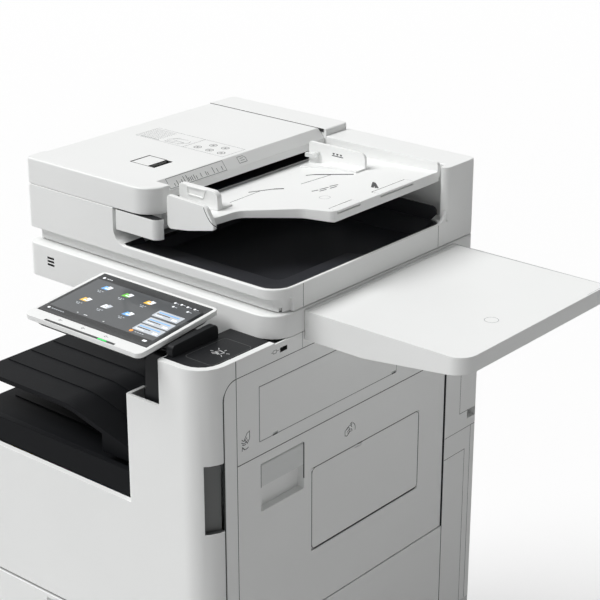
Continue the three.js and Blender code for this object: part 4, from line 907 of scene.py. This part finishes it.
slots = [subdivided((344, 350), (388, 389), 16), subdivided((364, 474), (431, 520), 20)]
on_document_tray("tray_slots", SHADOW, slots, 4.2, 0.2)
fine_lines = [subdivided((364, 283), (360, 360), 6), subdivided((394, 426), (401, 502), 6)]
on_document_tray("tray_fine_lines", INK_DARK, fine_lines, 1.5, 0.16)
finger_ring = closed_path(circle(477, 387, 9))
on_document_tray("tray_finger_ring", INK_PALE, [finger_ring], 0.8)
guidance = [
    [(437, 402), (441, 414)],
    [(441, 418), (445, 436)],
    [(447, 410), (450, 424)],
    [(443, 441), (448, 457)],
    [(451, 432), (453, 447)],
    [(488, 501), (505, 475)],
    [(491, 500), (508, 474.5)],
    [(494, 498), (513, 475)],
    [(498, 494), (517, 476)],
]
on_document_tray("tray_marks", INK_DARK, guidance, 3.0)
for flap in ("stop_flap_front", "stop_flap_rear"):
    low, high = node_mm(flap)
    gaps = [subdivided((low[0] - 0.9, low[1] - 0.9), (low[0] - 0.9, high[1] + 0.9), 6)]
    for y in (low[1] - 1.0, high[1] + 1.0):
        gaps.append(subdivided((low[0], y), (high[0] - 3, y), 3))
    on_document_tray(flap + "_gap", SHADOW, gaps, 1.7)
steps = [
    subdivided((513, y), (528, y), 4) + subdivided((528, y + 8), (541, y + 8), 4) for y in (452, 538)
]
on_top_of("output_liner", "recess_joints", "lid", SHADE, steps, 1.2)


def recess_ledge(bm):
    """The shallow shelf inside the recess rim, along its front and right side."""
    rim_front, rim_right, rim_turn = LID_FRONT + 12.5, WIDTH - 8.9, 34
    inner_front, inner_right, inner_turn = LID_FRONT + 66, WIDTH - 54, 16
    left_end, rear_end = 232, 402

    def along(front, right, turn):
        corner = circle(right - turn, front + turn, turn, 8, -90, 90)
        return [(left_end, front), *corner, (right, rear_end)]

    outer = along(rim_front, rim_right, rim_turn)
    inner = along(inner_front, inner_right, inner_turn)
    levels = (RIM_TOP - 8, LID_BOTTOM + 12.8, RIM_TOP - 12, RIM_TOP - 4)
    rings = [
        [bm.verts.new(machine_mm(*point, z)) for point, z in zip((far, near, near, far), levels)]
        for far, near in zip(outer, inner)
    ]
    join_rings(bm, rings)


make("recess_ledge", "lid", [LINER_BLACK], recess_ledge, 1.5)
BRACKET = face_plane((0, node_mm("document_tray")[0][1], 0), (1, 0, 0), (0, 0, 1))
lines(
    "bracket_joint",
    "original_tray",
    SHADOW,
    BRACKET,
    [[(396, 1167), (398, 1162), (403, 1154), (409, 1147), (416, 1142.5), (424, 1140.5)]],
    1.3,
    -0.4,
    0.04,
)
GUIDE_FACE = face_plane((0, node_mm("guide_front")[0][1], 0), (1, 0, 0), (0, 0, 1))
lines(
    "front_guide_finger_rim",
    "front_guide",
    GLOSS_WHITE,
    GUIDE_FACE,
    [closed_path([(317, 1175), (357, 1175.5), (351, 1162), (319, 1162)])],
    2.0,
    -0.4,
    1.4,
)
FAR_FACE = face_plane((0, node_mm("guide_rear")[1][1] - 6, 0), (1, 0, 0), (0, 0, 1))
limit_marks = []
for x in (362, 370, 378):
    limit_marks += [[(x - 2.4, 1165), (x + 2.4, 1165)], [(x - 1.6, 1163.6), (x + 1.6, 1163.6)]]
limit_marks.append([(358, 1161), (383, 1161)])
lines("stack_limit_marks", "rear_guide", INK_DARK, FAR_FACE, limit_marks, 1.5, -0.3, 0.07)


def hook_lever(bm):
    """The small hooked lever on the inner face of the rear guide."""
    hook = [(326, 1162), (331, 1162), (331, 1158), (327, 1151)]
    prism(bm, [(303, 1157), (322, 1157), *hook, (303, 1150)], 0.2, 7.0, FAR_FACE)


make("rear_guide_lever", "rear_guide", [PALE], hook_lever, 1.2)

# A card held over its reader, with short rays round it.
card_icon = [
    closed_path([(-6.5, -2.0), (4.5, -4.5), (7.0, 4.0), (-4.0, 6.5)]),
    [(-9.5, -7.5), (-4.5, -2.0), (0.5, -1.5)],
    [(-5.5, -9.5), (-1.0, -5.0), (3.5, -6.5)],
    [(11.0, 3.5), (16.0, 6.0)],
    [(-8.0, 8.0), (-12.0, 12.5)],
    [(2.0, 9.0), (2.5, 14.0)],
    [(9.0, -5.5), (13.5, -9.0)],
    [(-11.0, -1.0), (-16.0, -2.5)],
]
on_top_of(
    "card_reader_plate",
    "card_icon",
    "machine",
    INK_WHITE,
    moved(card_icon, 524, 80),
    1.1,
)
on_top_of(
    "card_reader_plate",
    "card_zone_line",
    "machine",
    GREY,
    [closed_path(rectangle(492, 36, 550, 128, 8))],
    0.7,
)

# A plug for the socket on the side, and hands that open a cover.
plug = closed_path(rectangle(157, 974.5, 165, 979.5, 0.8))
port_icon = [plug, [(165, 977), (170, 977)], [(153, 977), (157, 977)]]
short_strokes("port_icon", "machine", RIGHT, port_icon, INK, 0.9)
opening_cover = [
    closed_path([(-3, 2), (3, 11), (9, 13), (9, 1), (4, -6)]),
    [(-9, 4), (-5, 0), (0, 1), (3, 4)],
    [(-10, -1), (-5, -4), (1, -3), (5, 0)],
    [(-8, -5), (-4, -7), (1, -6)],
]
turning_arrow = circle(1, -7, 8, 8, 200, 110)
arrow_head = [(-3, -15), (-8, -9.5), (-8.5, -16)]
opening_cover += [turning_arrow, arrow_head]
short_strokes("exit_cover_icon", "machine", RIGHT, moved(opening_cover, 92, 852), INK_DARK, 1.2)
turned_sheet = [
    closed_path([(-13, -8), (-13, 0), (-6, 5), (-2, 3), (-2, -6), (-8, -10)]),
    [(-9, 1), (-4, 6), (2, 7), (5, 2)],
    [(-8, -4), (-2, 0), (4, -1), (6, -5)],
    [(-6, -7), (0, -4), (4, -5)],
    circle(2, -2, 12, 8, -20, 85),
    [(0, 9), (5, 10.5), (4, 6)],
]
short_strokes("side_door_icon", "side_door", RIGHT, moved(turned_sheet, 349, 776), INK_DARK, 1.2)
exit_catches = [[(y, exit_low[2]), (y + 11, exit_low[2])] for y in (155, 461)]
lines("exit_cover_catches", "machine", SHADOW, RIGHT, exit_catches, 2.4, -0.5, 0.05)
feed_catch = [(370, feed_high[2] + 0.2), (382, feed_high[2] + 0.2)]
lines("hand_feed_catch", "side_door", SHADOW, RIGHT, [feed_catch], 2.2, -0.5, 0.05)
(SHELF_LEFT, _, _), (SHELF_RIGHT, SHELF_REAR, _) = node_mm("utility_tray")
# A pale grey line of painted shade along the shelf's rear edge and round its rear right corner,
# standing in for the shade beside its raised lip.
lip_shade_line = [
    (SHELF_RIGHT - 3, SHELF_REAR - 60),
    *circle(SHELF_RIGHT - 15, SHELF_REAR - 15, 12, 6, 0, 90),
    (SHELF_LEFT + 3, SHELF_REAR - 3),
]
on_top_of("utility_tray", "utility_tray_rim_line", "machine", INK_PALE, [lip_shade_line], 0.8)
anchor_ring = closed_path(circle(809, 387, 11, 40))
on_top_of("utility_tray", "anchor_ring", "machine", INK_PALE, [anchor_ring], 0.9)

# ---- Control panel ------------------------------------------------------
TILT = math.radians(6.3)
panel_corner = (210, node_mm("panel_bezel")[0][1], 1009)
PANEL = face_plane(panel_corner, (1, 0, 0), (0, math.cos(TILT), math.sin(TILT)))
SCREEN_LOOKS = [
    printed(name, colour, 0.12, glow)
    for name, colour, glow in (
        ("screen lit grey", "56585A", 0.22),
        ("screen bar", "1F2022", 0.06),
        ("screen pale", "E4E7EA", 0.55),
        ("screen blue", "6EA6E0", 0.55),
        ("screen yellow", "E3B548", 0.55),
        ("screen green", "6CC04A", 0.6),
        ("screen card", "B4B9BF", 0.5),
        ("screen orange", "E8953A", 0.6),
    )
]
LIT, BAR, PALE_LIT, BLUE_LIT, YELLOW_LIT, GREEN_LIT, CARD_LIT, ORANGE_LIT = range(8)
# Each icon: its place on the screen, the tint of its folder and of its sheet.
ICONS = (
    (51, 135, BLUE_LIT, PALE_LIT),
    (99, 134, GREEN_LIT, PALE_LIT),
    (148, 134, YELLOW_LIT, PALE_LIT),
    (51, 88, YELLOW_LIT, PALE_LIT),
    (98, 88, PALE_LIT, CARD_LIT),
    (146, 88, BLUE_LIT, PALE_LIT),
)
CARDS = ((208, 114), (212, 89), (213, 66))  # the middles of three wide buttons


def draw_screen(bm):
    """Flat patches in thin layers: what the lit screen shows."""

    def patch(x0, y0, x1, y1, layer, index, radius=0.0):
        prism(bm, rectangle(x0, y0, x1, y1, radius), -0.1, 0.04 + 0.04 * layer, PANEL, index)

    patch(14, 44, 243, 152, 0, LIT)
    patch(14, 152, 243, 166, 0, BAR)
    patch(14, 30, 243, 44, 0, BAR)
    for u, v, tint, sheet in ICONS:
        folder = [(u - 9, v - 6), (u + 5, v - 6), (u + 8, v + 4), (u - 6, v + 5)]
        page = [(u - 4, v - 3), (u + 7, v - 4), (u + 10, v + 5), (u + 1, v + 7)]
        prism(bm, folder, -0.1, 0.08, PANEL, tint)
        prism(bm, page, -0.1, 0.12, PANEL, sheet)
        patch(u - 1, v - 1, u + 3, v + 2, 3, ORANGE_LIT if tint == YELLOW_LIT else tint)
        for k in range(3):
            patch(u - 8 + 5 * k, v - 14, u - 5 + 5 * k, v - 12.6, 1, CARD_LIT)
        patch(u - 5, v - 17.5, u + 2, v - 16.2, 1, CARD_LIT)
    for u, v in CARDS:
        patch(u - 27, v - 10, u + 27, v + 10, 1, CARD_LIT, 1.5)
        patch(u - 23, v + 3, u + 20, v + 5.5, 2, BLUE_LIT)
        patch(u - 23, v - 1.5, u + 4, v + 0.5, 2, BAR)
        patch(u - 23, v - 6, u - 6, v - 4.5, 2, PALE_LIT)
        patch(u + 12, v - 7, u + 22, v - 2, 2, PALE_LIT)
    for u, v in ((184, 155), (197, 156), (211, 155), (226, 155), (190, 144), (222, 143)):
        patch(u - 2.2, v - 2.2, u + 2.2, v + 2.2, 1, PALE_LIT, 1.6)
        patch(u + 3.6, v - 0.8, u + 8.4, v + 0.6, 1, CARD_LIT)
    prism(bm, circle(190, 51, 3.4, 20), -0.1, 0.08, PANEL, ORANGE_LIT)
    for k in range(4):
        patch(198 + 5 * k, 50, 201.4 + 5 * k, 51.4, 1, CARD_LIT)
    prism(bm, circle(20, 37, 2.6, 16), -0.1, 0.08, PANEL, PALE_LIT)
    for k in range(6):
        patch(26 + 5 * k, 36.2, 29.6 + 5 * k, 37.8, 1, CARD_LIT)
    prism(bm, circle(20, 159, 2.8, 16), -0.1, 0.08, PANEL, PALE_LIT)
    for k in range(3):
        patch(27 + 4.5 * k, 158.2, 30 + 4.5 * k, 159.8, 1, PALE_LIT)
    patch(228, 35, 236, 40, 1, PALE_LIT, 1)
    for u in (72, 88, 92, 130):
        patch(u, 48, u + 3, 49.4, 1, PALE_LIT)


make("screen_picture", "panel", SCREEN_LOOKS, draw_screen)


def draw_signal_bar(bm):
    prism(bm, rectangle(46.5, 1.8, 201.5, 6.2, 1.0), -0.35, 0.05, PANEL, 0)
    prism(bm, rectangle(165, 2.4, 184, 5.6, 1.0), -0.3, 0.12, PANEL, 1)


make(
    "signal_bar",
    "panel",
    [BLACK_GLOSS, printed("green light guide", "20C050", 0.3, 0.9)],
    draw_signal_bar,
)
touch_marks = []
for u in (69, 120, 171):
    touch_marks += [closed_path(circle(u, 15, 1.9, 12)), [(u + 3.4, 15), (u + 6.0, 15)]]
short_strokes("touch_marks", "panel", PANEL, touch_marks, INK, 0.8)

# ---- Cassettes ----------------------------------------------------------
# The numbers 1 to 4 as strokes.
DIGITS = (
    [[(-1.5, 3), (0.5, 5), (0.5, -5)], [(-2, -5), (3, -5)]],
    [[(-3, 3), (-1, 5), (2, 5), (3, 3), (3, 1), (-3, -5), (3, -5)]],
    [[(-3, 5), (3, 5), (0, 1), (3, -1), (2.5, -4), (0, -5), (-3, -4)]],
    [[(1.5, -5), (1.5, 5), (-3, -2), (3.2, -2)]],
)
for number, digit in enumerate(DIGITS, 1):
    cassette, body = f"cassette_{number}", f"drawer_{number}"
    low, high = node_mm(cassette)
    middle = (low[2] + high[2]) / 2
    short_strokes(cassette + "_number", body, FRONT, moved(digit, 474, middle + 22), INK_DARK, 1.3)
    levels = [[(468, z), (480, z)] for z in (middle - 20 + 6 * k for k in range(4))]
    window = closed_path(rectangle(464, middle - 24, 484, middle + 6, 2))
    short_strokes(cassette + "_level_marks", body, FRONT, [window, *levels], INK, 0.9)

# ---- Output trays, rear and left side -----------------------------------


def tray_rib(node_name, x0, x1, y, width, height):
    """Draws one rib from x0 to x1 that follows a tray's upper side."""
    tree = tree_of(node_name)

    def draw(bm):
        ribbon(bm, subdivided((x0, y), (x1, y), 14), width, -0.5, height)
        lay_on(bm, tree)

    return draw


repeat(
    "upper_tray_ribs",
    "machine",
    "black",
    BLACK_GRAIN,
    tray_rib("upper_output_tray", 12, 300, 96, 6, 1.4),
    10,
    (0, 52, 0),
    bevel=0.6,
)
repeat(
    "lower_tray_ribs",
    "machine",
    "black",
    BLACK_GRAIN,
    tray_rib("lower_output_tray", 30, 280, 90, 5, 1.2),
    8,
    (0, 62, 0),
    bevel=0.5,
)


def louvres(name, plane, x, z, length, count, rows=1, row_step=0):
    """Slots one over another, in one or two columns, drawn as patches of painted shade proud of the
    face.
    """

    def slot(bm):
        prism(bm, rectangle(x, z, x + length, z + 3.2, 1.5), -0.3, 0.06, plane)

    repeat(name, "machine", "black", SHADE, slot, count, (0, 0, 11), rows, (row_step, 0, 0))


louvres("rear_upper_louvres", REAR, -270, 700, 86, 12, 2, 110)
louvres("rear_lower_louvres", REAR, -480, 470, 60, 9, 2, -84)
louvres("left_louvres", LEFT, -560, 600, 90, 10)
SCREW = REAR @ Matrix.Translation((-24, 320, 0))  # the lowest on the left cover's side
SCREW_FIELD = (4, (0, 0, 190), 2, (506, 0, 0))


def screw_head(bm):
    spin(bm, [(0.4, -0.4), (4.2, -0.4), (4.2, 0.9), (3.0, 1.7), (0.4, 1.9)], SCREW, 20)


# The cross slots in the screws' heads, drawn as patches of painted shade.
def screw_slots(bm):
    prism(bm, rectangle(-2.6, -0.45, 2.6, 0.45), 1.5, 1.96, SCREW)
    prism(bm, rectangle(-0.45, -2.6, 0.45, 2.6), 1.5, 1.96, SCREW)


repeat("rear_screws", "machine", "steel", BRIGHT, screw_head, *SCREW_FIELD)
repeat("rear_screw_recesses", "machine", "black", SHADE, screw_slots, *SCREW_FIELD)


# The inlet's well is a patch of painted shade between its body and its pins.
def power_inlet(bm):
    prism(bm, rectangle(-116, 330, -84, 356, 3), -0.4, 1.6, REAR, 0)
    prism(bm, rectangle(-112.5, 334, -87.5, 352, 4), -0.4, 1.7, REAR, 1)
    for a, z in ((-107, 341), (-100, 346), (-93, 341)):
        prism(bm, rectangle(a - 1, z - 3, a + 1, z + 3), -0.4, 2.4, REAR, 2)


make("power_inlet", "machine", [BLACK, SHADE, BRIGHT], power_inlet)
rear_joint = [(4 - WIDTH, 640), (-3, 640)]
lines("rear_cover_joint", "machine", SHADOW, REAR, [rear_joint], 1.0, -0.4, 0.04)

# ---- Floor, light and camera --------------------------------------------
FLOOR_REACH = 30.0  # metres to each side
FLOOR_LIFT = 0.46  # the glow that turns the floor as white as the backdrop
AMBIENT, BACKDROP = 0.17, 0.98  # what lights the machine, and what is seen behind it
floor_mesh = bpy.data.meshes.new("floor")
floor_corners = [(x, y, 0) for x, y in rectangle(-FLOOR_REACH, -FLOOR_REACH, FLOOR_REACH, FLOOR_REACH)]
floor_mesh.from_pydata(floor_corners, [], [(0, 1, 2, 3)])
floor = bpy.data.objects.new("floor", floor_mesh)
bpy.context.scene.collection.objects.link(floor)


def seen_directly(tree):
    """1 for what the camera sees, straight on or in gloss and glass, else 0."""
    path = node(tree, "ShaderNodeLightPath").outputs
    seen = path["Is Camera Ray"]
    for way in ("Is Glossy Ray", "Is Transmission Ray"):
        seen = node(tree, "ShaderNodeMath", {0: seen, 1: path[way]}, operation="MAXIMUM").outputs[0]
    return seen


pale_floor, floor_tree = new_material("pale studio floor")
lift_inputs = {0: seen_directly(floor_tree), 1: FLOOR_LIFT}
lift = node(floor_tree, "ShaderNodeMath", lift_inputs, operation="MULTIPLY")
floor_shader = node(
    floor_tree,
    "ShaderNodeBsdfPrincipled",
    {"Base Color": linear("BDBDBD"), "Emission Strength": lift.outputs[0]},
)
finish_tree(floor_tree, floor_shader, Roughness=0.9, **{"Emission Color": (1, 1, 1, 1)})
floor_mesh.materials.append(pale_floor)

scene = bpy.context.scene
scene.view_settings.view_transform = "Standard"
world = bpy.data.worlds.new("studio")
scene.world = world
world.use_nodes = True
sky = world.node_tree
sky.nodes.clear()
ambient = node(sky, "ShaderNodeBackground", {"Color": (1, 1, 1, 1), "Strength": AMBIENT})
backdrop = node(sky, "ShaderNodeBackground", {"Color": (1, 1, 1, 1), "Strength": BACKDROP})
blend = node(
    sky,
    "ShaderNodeMixShader",
    {0: seen_directly(sky), 1: ambient.outputs[0], 2: backdrop.outputs[0]},
)
node(sky, "ShaderNodeOutputWorld", {"Surface": blend.outputs[0]})


def sun(name, strength, toward, spread):
    """A soft distant lamp; toward is the direction from the object to it."""
    lamp = bpy.data.lights.new(name, "SUN")
    lamp.energy = strength
    lamp.angle = math.radians(spread)
    holder = bpy.data.objects.new(name, lamp)
    holder.rotation_mode = "QUATERNION"
    holder.rotation_quaternion = Vector(toward).to_track_quat("Z", "Y")
    scene.collection.objects.link(holder)


# From above, over the machine's front left shoulder; wide, so that shadows are soft.
sun("softbox", 3.05, (-0.36, -0.46, 0.86), 38)

CAMERA_PLACE = (2146.2, -1648.6, 2016.2)
CAMERA_AZIMUTH, CAMERA_DROP = 40.225, 21.642  # degrees to the right, and down
camera_data = bpy.data.cameras.new("camera")
camera_data.sensor_width = 36.0
camera_data.lens = 102.29
camera_data.clip_start, camera_data.clip_end = 0.1, 60.0
camera = bpy.data.objects.new("camera", camera_data)
camera.location = machine_mm(*CAMERA_PLACE)
camera.rotation_euler = (math.radians(90 - CAMERA_DROP), 0, math.radians(CAMERA_AZIMUTH))
scene.collection.objects.link(camera)
scene.camera = camera
